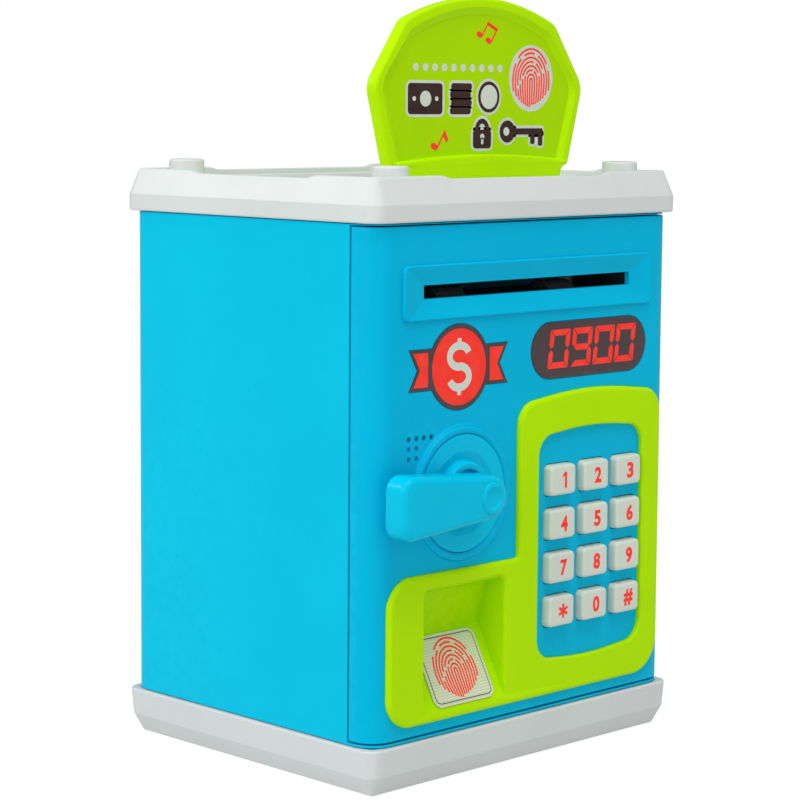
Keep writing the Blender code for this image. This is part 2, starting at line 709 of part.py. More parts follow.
def make_note_guide(dark):
    inner_low, inner_high = SLOT_MIDDLE - 2.6, SLOT_MIDDLE + 2.6
    guide = block("note_guide", (-51, 51), (-55.6, -33.5),
                  (inner_low - 1.5, inner_high + 1.5), dark)
    cut(guide, block("throat", (-49.4, 49.4), (-60, -30), (inner_low, inner_high), dark))
    for side in (-1, 1):
        near, far = sorted((side * 49.4, side * 51.4))
        add(guide, block("cheek", (near, far), (-48.5, -37.5), (143.0, 161.4), dark))
        low, high = sorted((side * 17.5, side * 34.5))
        cut(guide, block("window", (low, high), (-50.5, -35.5), (140, 170), dark))
    for z, radius in ((FEED_Z, 1.5), (PRESS_Z, 1.2)):
        cut(guide, turned("bearing", FEED_Y, z, ((radius + GAP, -60), (radius + GAP, 60)),
                          "X", dark, 14))
    return guide


def make_feed(dark, steel, rubber, cream):
    soften(turned("feed_shaft", FEED_Y, FEED_Z, ((1.5, -57.6), (1.5, 53.0)), "X", steel, 14))
    gear = slab("feed_gear", gear_outline(GEAR_TEETH, FEED_Y, FEED_Z, math.pi / 2), "X",
                GEAR_FROM_X, GEAR_TO_X, cream)
    cut(gear, turned("bore", FEED_Y, FEED_Z, ((1.8, -70), (1.8, -40)), "X", cream, 14))
    soften(turned("pressure_shaft", FEED_Y, PRESS_Z, ((1.2, -53.0), (1.2, 53.0)),
                  "X", steel, 12))
    for side, word in ((-1, "left"), (1, "right")):
        low, high = sorted((side * 19.5, side * 32.5))
        make_roller("feed_roller_" + word, FEED_Z, FEED_ROLLER, 1.8, low, high, rubber)
        make_roller("pressure_roller_" + word, PRESS_Z, PRESS_ROLLER, 1.5, low, high, rubber)
    half_tooth = math.pi / PINION_TEETH
    pinion = slab("motor_pinion",
                  gear_outline(PINION_TEETH, FEED_Y, MOTOR_Z, math.pi / 2 + half_tooth),
                  "X", GEAR_FROM_X, GEAR_TO_X, cream)
    add(pinion, turned("motor_shaft", FEED_Y, MOTOR_Z, ((1.0, -56.0), (1.0, -49.6)),
                       "X", steel, 12))
    motor = turned("feed_motor", FEED_Y, MOTOR_Z,
                   ((3.0, -49.2), (3.0, -47.8), (7.0, -47.8), (7.0, -24.0)), "X", steel, 24)
    cut(motor, block("flat_front", (-60, 0), (-60, FEED_Y - 6.0), (100, 160), steel),
        block("flat_back", (-60, 0), (FEED_Y + 6.0, -20), (100, 160), steel))
    soften(motor)
    for name in ("feed_gear", "motor_pinion"):
        z = FEED_Z if name == "feed_gear" else MOTOR_Z
        set_origin(soften(bpy.data.objects[name], 20), 0, FEED_Y, z)


def make_roller(name, z, radius, bore, low, high, rubber):
    rings = ((bore, low), (radius, low), (radius, high), (bore, high))
    roller = turned(name, FEED_Y, z, rings, "X", rubber, 20, closed=True)
    return set_origin(soften(roller), 0, FEED_Y, z)


# Inner cover and batteries --------------------------------------------------

def make_cover(white):
    left, right, low, high = COVER_BOX
    front = DOOR_INSIDE + 1.0
    cover = block("back_cover", (left, right), (front, COVER_BACK), (low, high), white)
    bay_front, bay_wall = CELL_Y - CELL_RADIUS - 0.4, 1.2
    cut(cover, block("room", (left + COVER_WALL, right - COVER_WALL),
                     (-60, COVER_BACK - COVER_WALL), (low + COVER_WALL, high - COVER_WALL), white))
    bay = (-27.5, 27.5), (30.0, 78.0)
    add(cover, block("bay", (bay[0][0] - bay_wall, bay[0][1] + bay_wall),
                     (bay_front - bay_wall, COVER_BACK - 0.5),
                     (bay[1][0] - bay_wall, bay[1][1] + bay_wall), white))
    cut(cover,
        block("cells", bay[0], (bay_front, -20), bay[1], white),
        block("note_exit", (-46, 46), (-34, -20), (148.5, 160.5), white),
        block("bolt_port", (-70, -55), (-46, -40), (82.9, 91.2), white))
    for x, z in COVER_SCREWS:
        cut(cover, turned("screw_hole", x, z, ((1.9, -35), (1.9, -20)), "Y", white, 12))
    soften(cover)
    lid = slab("battery_cover", rectangle(-30.5, 30.5, 27.0, 81.0, 3.0, 4), "Y",
               COVER_BACK + GAP, COVER_BACK + GAP + 1.8, white)
    soften(lid)


def make_cells(green):
    for index, z in enumerate(CELLS_Z):
        direction = -1 if index % 2 else 1
        profile = [(CELL_RADIUS, -CELL_HALF), (CELL_RADIUS, CELL_HALF - 1.2),
                   (2.7, CELL_HALF - 1.2), (2.7, CELL_HALF)]
        profile = [(radius, direction * x) for radius, x in profile]
        soften(turned("battery_%d" % (index + 1), CELL_Y, z, profile, "X", green, 20))


def make_cover_screws(steel):
    for index, (x, z) in enumerate(COVER_SCREWS):
        soften(turned("cover_screw_%d" % (index + 1), x, z,
                      ((2.0, COVER_BACK + 2.2), (2.9, COVER_BACK + 1.5), (2.9, COVER_BACK + 0.3),
                       (1.2, COVER_BACK + 0.3), (1.2, -43.0), (0.4, -44.2)), "Y", steel, 12))


def main():
    clear_scene()
    blue = plastic("blue_plastic", (0.0, 0.38, 0.62), 0.32)
    white = plastic("white_plastic", (0.72, 0.76, 0.76), 0.38)
    lime = plastic("lime_plastic", (0.36, 0.66, 0.0), 0.32)
    key_white = plastic("key_plastic", (0.72, 0.74, 0.68), 0.36)
    dark = plastic("dark_plastic", (0.03, 0.035, 0.04), 0.45)
    label_dark = plastic("label_dark", (0.05, 0.03, 0.035), 0.4)
    label_red = plastic("label_red", (0.75, 0.05, 0.03), 0.4)
    label_sage = plastic("label_sage", (0.62, 0.68, 0.50), 0.4)
    rubber = plastic("rubber", (0.06, 0.06, 0.06), 0.75)
    board = plastic("board_green", (0.02, 0.16, 0.07), 0.5)
    cream = plastic("gear_cream", (0.75, 0.72, 0.62), 0.4)
    steel = plastic("steel", (0.6, 0.6, 0.6), 0.3, 1.0)
    cell = plastic("battery_wrap", (0.02, 0.22, 0.12), 0.35)

    make_casing(blue)
    make_base(white)
    make_lid(white)
    make_sign(lime)
    make_base_screws(steel)
    make_hinge_pins(steel)
    set_origin(make_door(blue), HINGE_X, HINGE_Y, DOOR_LOW)
    make_panel(lime)
    make_labels(label_dark, label_red, label_sage)
    make_keys(key_white)
    make_boards(rubber, board, dark)
    make_speaker(dark)
    make_dial(blue)
    make_lever(blue)
    make_latch(dark, steel)
    make_note_guide(dark)
    make_feed(dark, steel, rubber, cream)
    make_cover(white)
    make_cells(cell)
    make_cover_screws(steel)


main()
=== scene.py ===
import math

import bmesh
import bpy
import numpy as np
from mathutils import Matrix, Vector


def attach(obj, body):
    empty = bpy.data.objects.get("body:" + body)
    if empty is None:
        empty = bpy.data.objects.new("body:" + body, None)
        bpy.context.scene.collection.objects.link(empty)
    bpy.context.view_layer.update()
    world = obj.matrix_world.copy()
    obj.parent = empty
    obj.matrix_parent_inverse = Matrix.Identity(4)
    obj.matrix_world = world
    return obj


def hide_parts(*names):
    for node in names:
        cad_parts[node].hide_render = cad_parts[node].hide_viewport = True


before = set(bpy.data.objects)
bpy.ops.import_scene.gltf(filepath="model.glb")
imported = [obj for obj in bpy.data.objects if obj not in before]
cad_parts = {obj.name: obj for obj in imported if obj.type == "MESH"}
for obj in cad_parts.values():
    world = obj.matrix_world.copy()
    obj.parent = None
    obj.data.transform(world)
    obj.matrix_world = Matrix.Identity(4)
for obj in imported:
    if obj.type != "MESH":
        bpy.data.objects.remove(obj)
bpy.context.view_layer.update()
mm = 0.001

# Sizes of the whole box in millimetres. The door faces -Y and the hinge is on the right.
box = {
    "halfWidth": 70.0, "halfDepth": 58.5, "wall": 2.5, "cornerRadius": 8.0,
    "trimOverhang": 1.5, "trimRadius": 5.0, "tongueInset": 2.1, "gap": 0.3,
    "baseTop": 15.0, "caseLow": 15.3, "sillTop": 16.0, "doorLow": 16.6, "doorHigh": 175.0,
    "headerLow": 175.5, "caseHigh": 175.8, "lidLow": 176.1, "lidBreak": 181.6,
    "lidTop": 190.0, "trayFloor": 187.0, "seamY": -48.3, "caseStartY": -47.5,
}
front = -box["halfDepth"]
doorInside = front + box["wall"]
hinge = {"x": 62.0, "y": -50.5, "pinHole": 1.8, "relief": 8.6, "knuckle": 4.6}
posts = ((-61.0, -38.0), (61.0, -38.0), (-61.0, 49.5), (61.0, 49.5))


# Outlines are rows of (across, up) and every surface is worked out from them as whole arrays.

def roundedLine(corners, steps=6, closed=True):
    # Each corner (across, up, radius) becomes an arc that touches both of its sides:
    # the arc's centre lies radius / sin(half the angle) along the corner's bisector.
    corners = np.array(corners, float)
    point, radius = corners[:, :2], corners[:, 2].copy()
    if not closed:
        radius[[0, -1]] = 0
    toLast = np.roll(point, 1, 0) - point
    toNext = np.roll(point, -1, 0) - point
    toLast /= np.maximum(np.linalg.norm(toLast, axis=1), 1e-9)[:, None]
    toNext /= np.maximum(np.linalg.norm(toNext, axis=1), 1e-9)[:, None]
    half = np.arccos(np.clip((toLast * toNext).sum(1), -1, 1)) / 2
    bisector = toLast + toNext
    bisector /= np.maximum(np.linalg.norm(bisector, axis=1), 1e-9)[:, None]
    centre = point + bisector * (radius / np.maximum(np.sin(half), 1e-6))[:, None]
    reach = (radius / np.maximum(np.tan(half), 1e-6))[:, None]
    start = point + toLast * reach - centre
    end = point + toNext * reach - centre
    first = np.arctan2(start[:, 1], start[:, 0])
    sweep = (np.arctan2(end[:, 1], end[:, 0]) - first + np.pi) % (2 * np.pi) - np.pi
    share = np.linspace(0, 1, steps + 1)
    angle = first[:, None] + sweep[:, None] * share
    arcs = centre[:, None] + radius[:, None, None] * np.stack([np.cos(angle), np.sin(angle)], -1)
    keep = (radius[:, None] > 0) | (share == 0)
    return arcs[np.broadcast_to(keep, arcs.shape[:2])]


def rectLine(left, right, low, high, radius=0.0, steps=6):
    return roundedLine([(left, low, radius), (right, low, radius),
                        (right, high, radius), (left, high, radius)], steps)


def circleLine(x, y, radius, steps=48):
    angle = np.linspace(0, 2 * np.pi, steps, endpoint=False)
    return np.stack([x + radius * np.cos(angle), y + radius * np.sin(angle)], -1)


def archPoints(start, end, rise, steps=10):
    # Points on the parabola 4 * rise * t * (1 - t) over the chord, its two ends left out.
    t = np.linspace(0, 1, steps + 1)[1:-1]
    x = start[0] + (end[0] - start[0]) * t
    y = start[1] + (end[1] - start[1]) * t + 4 * rise * t * (1 - t)
    return np.stack([x, y, np.zeros_like(t)], -1).tolist()


def divided(line, counts):
    # Every edge is cut into its own number of equal parts.
    start = np.repeat(line, counts, 0)
    edge = np.repeat(np.roll(line, -1, 0) - line, counts, 0)
    order = np.arange(len(start)) - np.repeat(np.cumsum(counts) - counts, counts)
    return start + edge * (order / np.repeat(counts, counts))[:, None]


def grown(line, amount):
    # Each point moves out along the mitre of its two edges: (n1 + n2) / (1 + n1 . n2).
    edge = np.roll(line, -1, 0) - line
    edge = edge / np.maximum(np.linalg.norm(edge, axis=1), 1e-9)[:, None]
    normal = np.stack([edge[:, 1], -edge[:, 0]], -1)
    mitre = normal + np.roll(normal, 1, 0)
    mitre = mitre / np.maximum((mitre * normal).sum(1), 0.3)[:, None]
    after = np.roll(line, -1, 0)
    area = (line[:, 0] * after[:, 1] - after[:, 0] * line[:, 1]).sum()
    return line + mitre * amount * np.sign(area)


def ribbonLine(path, width):
    # A stroke of even width: the path shifted half a width to each side and joined.
    along = np.gradient(path, axis=0)
    along /= np.linalg.norm(along, axis=1)[:, None]
    across = np.stack([-along[:, 1], along[:, 0]], -1) * width / 2
    return np.concatenate([path + across, (path - across)[::-1]])


def arcPath(centre, radii, first, last, steps=16):
    angle = np.radians(np.linspace(first, last, steps + 1))
    return np.stack([centre[0] + radii[0] * np.cos(angle),
                     centre[1] + radii[1] * np.sin(angle)], -1)


def placed(line, height, axis):
    # Puts a flat outline at a height along axis; "ramp" is the scanner's sloping floor.
    across, up = line[:, 0], line[:, 1]
    level = np.full(len(line), float(height))
    if axis == "z":
        return np.stack([across, up, level], -1)
    if axis == "y":
        return np.stack([across, level, up], -1)
    if axis == "x":
        return np.stack([level, across, up], -1)
    foot, along, out = rampFrame()
    return np.stack([across, foot[0] + along[0] * up + out[0] * level,
                     foot[1] + along[1] * up + out[1] * level], -1)


def rampFrame():
    (topY, topZ), (footY, footZ) = bay["section"][2:]
    length = math.hypot(topY - footY, topZ - footZ)
    along = ((topY - footY) / length, (topZ - footZ) / length)
    return (footY, footZ), along, (-along[1], along[0])


def cleaned(mesh):
    # Doubles are merged at poles and seams, then every face is turned outwards.
    work = bmesh.new()
    work.from_mesh(mesh)
    bmesh.ops.remove_doubles(work, verts=work.verts, dist=1e-7)
    bmesh.ops.recalc_face_normals(work, faces=work.faces)
    work.to_mesh(mesh)
    work.free()


def ringSolid(name, rings, finish=None):
    # rings is rows x points x 3. Four-sided faces join each row to the next,
    # and the first and last rows are closed with one flat face each.
    rows, around = rings.shape[:2]
    index = np.arange(rows * around).reshape(rows, around)
    low, high = index[:-1], index[1:]
    quads = np.stack([low, np.roll(low, -1, 1), np.roll(high, -1, 1), high], -1)
    faces = quads.reshape(-1, 4).tolist() + [index[0].tolist(), index[-1].tolist()]
    mesh = bpy.data.meshes.new(name)
    mesh.from_pydata((rings.reshape(-1, 3) * mm).tolist(), [], faces)
    cleaned(mesh)
    piece = bpy.data.objects.new(name, mesh)
    bpy.context.scene.collection.objects.link(piece)
    if finish:
        mesh.materials.append(finishes[finish])
    return piece


def loft(name, outline, profile, axis, finish=None):
    # outline(inset) gives the ring for each (inset, height) row of the profile.
    rings = np.stack([placed(outline(inset), height, axis) for inset, height in profile])
    return ringSolid(name, rings, finish)


def slopedPrism(name, line, profile, finish=None):
    # An outline facing the front, pulled in by each inset of the profile.
    return loft(name, lambda inset: grown(line, -inset), profile, "y", finish)


def prism(name, line, low, high, axis, finish=None):
    return ringSolid(name, np.stack([placed(line, low, axis), placed(line, high, axis)]), finish)


def slabBox(name, x, y, z):
    return prism(name, rectLine(x[0], x[1], y[0], y[1]), z[0], z[1], "z")


def turned(name, centre, profile, axis, finish=None, steps=64):
    # A (radius, height) profile carried round a circle; points = centre + radius * (cos, sin).
    angle = np.linspace(0, 2 * np.pi, steps, endpoint=False)
    profile = np.array(profile, float)
    circle = np.stack([np.cos(angle), np.sin(angle)], -1)
    rings = np.stack([placed(np.array(centre) + radius * circle, height, axis)
                      for radius, height in profile])
    return ringSolid(name, rings, finish)


def edgeProfile(rows, steps=5):
    # A profile of (inset, height, radius) rows whose corners are rounded.
    return roundedLine(rows, steps, closed=False)


def plateRows(inner, back, face, radius, steps):
    # The profile of a plate whose face has a rounded edge and whose back is plain.
    return edgeProfile([(inner, back, 0), (0, back, 0), (0, face, radius), (inner, face, 0)], steps)


def gathered(pieces):
    # Several separate solids become one mesh, so that one cut takes them all.
    work = bmesh.new()
    for piece in pieces:
        work.from_mesh(piece.data)
    work.to_mesh(pieces[0].data)
    work.free()
    for piece in pieces[1:]:
        bpy.data.objects.remove(piece, do_unlink=True)
    return pieces[0]


def carved(piece, tools, operation="DIFFERENCE"):
    tool = gathered(tools)
    step = piece.modifiers.new("carve", "BOOLEAN")
    step.object = tool
    step.operation = operation
    step.solver = "EXACT"
    graph = bpy.context.evaluated_depsgraph_get()
    mesh = bpy.data.meshes.new_from_object(piece.evaluated_get(graph))
    piece.modifiers.clear()
    piece.data = mesh
    bpy.data.objects.remove(tool, do_unlink=True)
    return piece


def finished(piece, body, nodes=(), angle=32.0):
    # Smooth shading with sharp edges kept, then the piece joins its body.
    piece.data.shade_smooth()
    piece.data.set_sharp_from_angle(angle=math.radians(angle))
    even = piece.modifiers.new("evenNormals", "WEIGHTED_NORMAL")
    even.keep_sharp = True
    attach(piece, body)
    if nodes:
        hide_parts(*nodes)
    return piece


def joined(name, pieces):
    # Printed marks of one look and one body become one piece.
    piece = gathered(pieces)
    piece.name = name
    piece.data.name = name
    return piece


# Node groups. Each gives only colours, masks and values.

def newGroup(name, inputs, outputs):
    group = bpy.data.node_groups.new(name, "ShaderNodeTree")
    for label, kind, value in inputs:
        socket = group.interface.new_socket(label, in_out="INPUT", socket_type=kind)
        socket.default_value = value
    for label, kind in outputs:
        group.interface.new_socket(label, in_out="OUTPUT", socket_type=kind)
    return group, group.nodes.new("NodeGroupInput"), group.nodes.new("NodeGroupOutput")


def fillSockets(tree, node, sources):
    # sources gives input name or number -> output socket or a fixed value.
    for key, value in sources.items():
        if isinstance(value, bpy.types.NodeSocket):
            tree.links.new(value, node.inputs[key])
        else:
            node.inputs[key].default_value = value


def addNode(tree, kind, sources=None, **values):
    node = tree.nodes.new(kind)
    for key, value in values.items():
        setattr(node, key, value)
    fillSockets(tree, node, sources or {})
    return node


def noise(tree, place, scale, detail=2.0, distortion=0.0):
    return addNode(tree, "ShaderNodeTexNoise", {"Vector": place, "Scale": scale, "Detail": detail,
                                                "Distortion": distortion}).outputs[0]


def mathNode(tree, operation, first, second=0.0):
    return addNode(tree, "ShaderNodeMath", {0: first, 1: second}, operation=operation).outputs[0]


def spread(tree, value, low, high, newLow, newHigh):
    return addNode(tree, "ShaderNodeMapRange",
                   {"Value": value, "From Min": low, "From Max": high,
                    "To Min": newLow, "To Max": newHigh}).outputs[0]


def mixColour(tree, share, first, second):
    # The colour sockets of a Mix node are its inputs 6 and 7 and its output 2.
    return addNode(tree, "ShaderNodeMix", {0: share, 6: first, 7: second},
                   data_type="RGBA").outputs[2]


def makeDriftGroup():
    # Slow flow marks of moulded plastic: two sizes of noise mix the second colour in.
    group, gave, gives = newGroup("mouldDrift", [
        ("Place", "NodeSocketVector", (0, 0, 0)),
        ("Colour", "NodeSocketColor", (1, 1, 1, 1)), ("Second", "NodeSocketColor", (1, 1, 1, 1)),
        ("Patches", "NodeSocketFloat", 25.0), ("Speckle", "NodeSocketFloat", 0.1)],
        [("Colour", "NodeSocketColor")])
    place, second = gave.outputs["Place"], gave.outputs["Second"]
    broad = noise(group, place, gave.outputs["Patches"], 3.0)
    fine = noise(group, place, 900.0)
    share = spread(group, broad, 0.35, 0.68, 0.0, 1.0)
    colour = mixColour(group, share, gave.outputs["Colour"], second)
    dots = spread(group, fine, 0.58, 0.7, 0.0, 1.0)
    dots = mathNode(group, "MULTIPLY", dots, gave.outputs["Speckle"])
    fillSockets(group, gives, {"Colour": mixColour(group, dots, colour, second)})
    return group


def makeGrainGroup():
    # Fine spark-eroded grain and slow ripple as one height, and an uneven roughness.
    group, gave, gives = newGroup("mouldGrain", [
        ("Place", "NodeSocketVector", (0, 0, 0)),
        ("Grain Size", "NodeSocketFloat", 2500.0), ("Grain", "NodeSocketFloat", 0.2),
        ("Ripple", "NodeSocketFloat", 0.5),
        ("Roughness", "NodeSocketFloat", 0.35), ("Unevenness", "NodeSocketFloat", 0.1)],
        [("Height", "NodeSocketFloat"), ("Roughness", "NodeSocketFloat")])
    place = gave.outputs["Place"]
    fine = mathNode(group, "MULTIPLY", noise(group, place, gave.outputs["Grain Size"]),
                    gave.outputs["Grain"])
    slow = mathNode(group, "MULTIPLY", noise(group, place, 45.0, 1.0), gave.outputs["Ripple"])
    shift = spread(group, noise(group, place, 70.0, 5.0), 0.3, 0.7, -1.0, 1.0)
    uneven = mathNode(group, "MULTIPLY", shift, gave.outputs["Unevenness"])
    fillSockets(group, gives, {
        "Height": mathNode(group, "ADD", fine, slow),
        "Roughness": mathNode(group, "ADD", gave.outputs["Roughness"], uneven)})
    return group


def makeEdgeGroup():
    # Raised edges are rubbed; hollow ones get painted shade on the light finishes and dust on the
    # dark ones; both are broken up by noise.
    group, gave, gives = newGroup("edgeRubDustAndShade", [
        ("Place", "NodeSocketVector", (0, 0, 0)),
        ("Rub", "NodeSocketFloat", 0.3), ("DustAndShade", "NodeSocketFloat", 0.3)],
        [("Rub", "NodeSocketFloat"), ("DustAndShade", "NodeSocketFloat")])
    shape = addNode(group, "ShaderNodeNewGeometry").outputs["Pointiness"]
    patches = spread(group, noise(group, gave.outputs["Place"], 260.0, 4.0), 0.4, 0.62, 0.15, 1.0)
    raised = spread(group, shape, 0.53, 0.6, 0.0, 1.0)
    # Hollows: painted shade where the finish's hollow colour is darker than it, real dust where it is
    # lighter.
    hollow = spread(group, shape, 0.47, 0.4, 0.0, 1.0)
    for mask, name in ((raised, "Rub"), (hollow, "DustAndShade")):
        broken = mathNode(group, "MULTIPLY", mask, patches)
        fillSockets(group, gives, {name: mathNode(group, "MULTIPLY", broken, gave.outputs[name])})
    return group


groups = {"drift": makeDriftGroup(), "grain": makeGrainGroup(), "edge": makeEdgeGroup()}
print("stage: node groups")


# Finishes: colour, second colour, rubbed colour, dust-and-shade colour for hollows (painted shade on
# the light finishes, dust on the dark ones; all linear), roughness, specular level and coat weight.

def finishOf(colour, second, rubbed, dust, rough, specular, coat):
    return {"colour": colour, "second": second, "rubbed": rubbed, "dust": dust,
            "rough": rough, "specular": specular, "coat": coat}


finishValues = {
    "blue_plastic": finishOf((0.0, 0.585, 0.84), (0.0, 0.555, 0.81), (0.01, 0.66, 0.9),
                             (0.0, 0.34, 0.5), 0.32, 0.05, 0.01),
    # The door's blue is the casing blue darkened as painted shade, for the front face turned away
    # from the key light.
    "blue_door_shaded": finishOf((0.0, 0.515, 0.8), (0.0, 0.49, 0.77), (0.01, 0.6, 0.87),
                          (0.0, 0.3, 0.47), 0.32, 0.05, 0.01),
    "blue_gloss": finishOf((0.0, 0.59, 0.85), (0.0, 0.56, 0.815), (0.01, 0.67, 0.9),
                           (0.0, 0.34, 0.52), 0.24, 0.07, 0.03),
    "white_plastic": finishOf((0.725, 0.765, 0.755), (0.695, 0.73, 0.72), (0.88, 0.89, 0.88),
                              (0.52, 0.54, 0.52), 0.34, 0.2, 0.02),
    "lime_plastic": finishOf((0.505, 0.905, 0.0), (0.48, 0.87, 0.0), (0.58, 0.97, 0.0),
                             (0.33, 0.62, 0.0), 0.32, 0.05, 0.01),
    # A darker lime for the sign's recess floor: painted shade in the recess.
    "lime_recess_shade": finishOf((0.45, 0.79, 0.0), (0.425, 0.755, 0.0), (0.52, 0.9, 0.0),
                          (0.33, 0.62, 0.0), 0.34, 0.05, 0.01),
    "key_plastic": finishOf((0.72, 0.785, 0.68), (0.69, 0.75, 0.645), (0.84, 0.87, 0.83),
                            (0.4, 0.45, 0.42), 0.36, 0.2, 0.02),
    "dark_plastic": finishOf((0.03, 0.032, 0.036), (0.045, 0.047, 0.052), (0.1, 0.1, 0.11),
                             (0.08, 0.08, 0.08), 0.45, 0.35, 0.0),
    "label_dark": finishOf((0.085, 0.058, 0.062), (0.07, 0.046, 0.05), (0.13, 0.1, 0.1),
                           (0.1, 0.08, 0.08), 0.3, 0.22, 0.15),
    "label_red": finishOf((0.98, 0.036, 0.022), (0.95, 0.04, 0.024), (0.95, 0.12, 0.08),
                          (0.45, 0.03, 0.02), 0.34, 0.1, 0.04),
    "label_sage": finishOf((0.76, 0.82, 0.58), (0.7, 0.77, 0.53), (0.7, 0.75, 0.56),
                           (0.36, 0.4, 0.26), 0.42, 0.25, 0.1),
    "print_pale": finishOf((0.7, 0.76, 0.66), (0.64, 0.7, 0.6), (0.78, 0.82, 0.74),
                           (0.4, 0.44, 0.36), 0.4, 0.25, 0.0),
    "print_brown": finishOf((0.05, 0.022, 0.018), (0.038, 0.016, 0.014), (0.09, 0.05, 0.04),
                            (0.06, 0.04, 0.03), 0.38, 0.25, 0.0),
    "rubber": finishOf((0.055, 0.055, 0.058), (0.075, 0.075, 0.078), (0.12, 0.12, 0.12),
                       (0.16, 0.15, 0.14), 0.72, 0.3, 0.0),
    "gear_cream": finishOf((0.74, 0.68, 0.52), (0.68, 0.61, 0.45), (0.82, 0.77, 0.64),
                           (0.35, 0.3, 0.2), 0.42, 0.35, 0.0),
    "board_green": finishOf((0.02, 0.15, 0.055), (0.016, 0.125, 0.045), (0.05, 0.22, 0.09),
                            (0.02, 0.08, 0.03), 0.38, 0.35, 0.2),
    "battery_wrap": finishOf((0.03, 0.032, 0.036), (0.04, 0.042, 0.046), (0.1, 0.1, 0.1),
                             (0.05, 0.05, 0.05), 0.25, 0.4, 0.3),
}
finishes = {}


def place3(tree):
    return addNode(tree, "ShaderNodeTexCoord").outputs["Object"]


def principled(name):
    material = bpy.data.materials.new(name)
    material.use_nodes = True
    return material, material.node_tree, material.node_tree.nodes["Principled BSDF"]


def filledGroup(tree, name, sources):
    return addNode(tree, "ShaderNodeGroup", sources, node_tree=groups[name])


surface = {"unevenness": 0.06, "rubRough": 0.15, "bumpStrength": 0.25, "bumpHeight": 0.00006,
           "coatRough": 0.12, "redGlow": 0.12}


def makePlastic(name, values, pattern=None):
    # Drifting colour, rubbed edges, hollows with painted shade (dust on the dark finishes), uneven
    # gloss and a fine moulded grain.
    material, tree, shader = principled(name)
    place = place3(tree)
    drift = filledGroup(tree, "drift", {"Place": place, "Colour": (*values["colour"], 1),
                                        "Second": (*values["second"], 1)})
    edge = filledGroup(tree, "edge", {"Place": place})
    grain = filledGroup(tree, "grain", {"Place": place, "Roughness": values["rough"],
                                        "Unevenness": surface["unevenness"]})
    colour = drift.outputs["Colour"]
    if pattern:
        colour = pattern(tree, place, colour)
    # Painted shade: hollows darken towards the darker hollow colour (lighter dust on the dark
    # finishes).
    colour = mixColour(tree, edge.outputs["DustAndShade"], colour, (*values["dust"], 1))
    colour = mixColour(tree, edge.outputs["Rub"], colour, (*values["rubbed"], 1))
    rough = mathNode(tree, "ADD", grain.outputs["Roughness"],
                     mathNode(tree, "MULTIPLY", edge.outputs["Rub"], surface["rubRough"]))
    bump = addNode(tree, "ShaderNodeBump", {"Height": grain.outputs["Height"],
                                            "Strength": surface["bumpStrength"],
                                            "Distance": surface["bumpHeight"]})
    fillSockets(tree, shader, {
        "Base Color": colour, "Roughness": rough, "Normal": bump.outputs[0],
        "Specular IOR Level": values["specular"], "Coat Weight": values["coat"],
        "Coat Roughness": surface["coatRough"]})
    # Painted glow: the red print gives off a little light of its own, so it looks brighter than the
    # lamps alone make it.
    if name == "label_red":
        fillSockets(tree, shader, {"Emission Color": (*values["colour"], 1),
                                   "Emission Strength": surface["redGlow"]})
    return material


def sageLines(tree, place, colour):
    # Thin grey lines across the scanner pad, about a millimetre apart up its slope.
    turn = addNode(tree, "ShaderNodeMapping",
                   {"Vector": place, "Rotation": (math.radians(28), 0, 0)})
    wave = addNode(tree, "ShaderNodeTexWave", {"Vector": turn.outputs[0], "Scale": 330.0,
                                               "Distortion": 0.4, "Detail": 1.0,
                                               "Detail Scale": 2.0}, bands_direction="Z")
    lines = spread(tree, wave.outputs[1], 0.72, 0.9, 0.0, 0.35)
    return mixColour(tree, lines, colour, (0.33, 0.36, 0.27, 1))


def boardTraces(tree, place, colour):
    # Pale copper tracks under the green lacquer.
    cells = addNode(tree, "ShaderNodeTexVoronoi", {"Vector": place, "Scale": 330.0,
                                                   "Randomness": 0.25},
                    feature="DISTANCE_TO_EDGE", distance="EUCLIDEAN")
    lines = spread(tree, cells.outputs["Distance"], 0.06, 0.12, 0.8, 0.0)
    return mixColour(tree, lines, colour, (0.16, 0.34, 0.10, 1))


def wrapBand(tree, place, colour):
    # A battery's sleeve: a copper coloured third at the plus end.
    across = addNode(tree, "ShaderNodeSeparateXYZ", {0: place}).outputs["X"]
    band = mathNode(tree, "GREATER_THAN", across, 0.012)
    return mixColour(tree, band, colour, (0.70, 0.30, 0.10, 1))


def makeSteel():
    # Turned and plated steel: bright, with fine scratches and duller patches.
    material, tree, shader = principled("steel")
    place = place3(tree)
    scratch = noise(tree, place, 1400.0, 6.0, 1.5)
    grain = filledGroup(tree, "grain", {"Place": place, "Roughness": 0.30, "Unevenness": 0.12})
    tone = spread(tree, scratch, 0.35, 0.65, 0.0, 1.0)
    colour = mixColour(tree, tone, (0.50, 0.50, 0.52, 1), (0.68, 0.68, 0.69, 1))
    bump = addNode(tree, "ShaderNodeBump", {"Height": scratch, "Strength": 0.2,
                                            "Distance": 0.00003})
    fillSockets(tree, shader, {"Base Color": colour, "Roughness": grain.outputs["Roughness"],
                               "Normal": bump.outputs[0], "Metallic": 1.0})
    return material


patterns = {"label_sage": sageLines, "board_green": boardTraces, "battery_wrap": wrapBand}
for finishName, finishSet in finishValues.items():
    finishes[finishName] = makePlastic(finishName, finishSet, patterns.get(finishName))
finishes["steel"] = makeSteel()
print("stage: finishes")


# The casing: four walls with tongues for the lid and the base, posts and the hinge relief.

def wallLine(inset):
    halfWidth, halfDepth = box["halfWidth"] - inset, box["halfDepth"] - inset
    return rectLine(-halfWidth, halfWidth, -halfDepth, halfDepth,
                    max(box["cornerRadius"] - inset, 0.6), 10)


def wallSolid(name, inset, low, high):
    return loft(name, wallLine, [(inset, low), (inset, high)], "z")


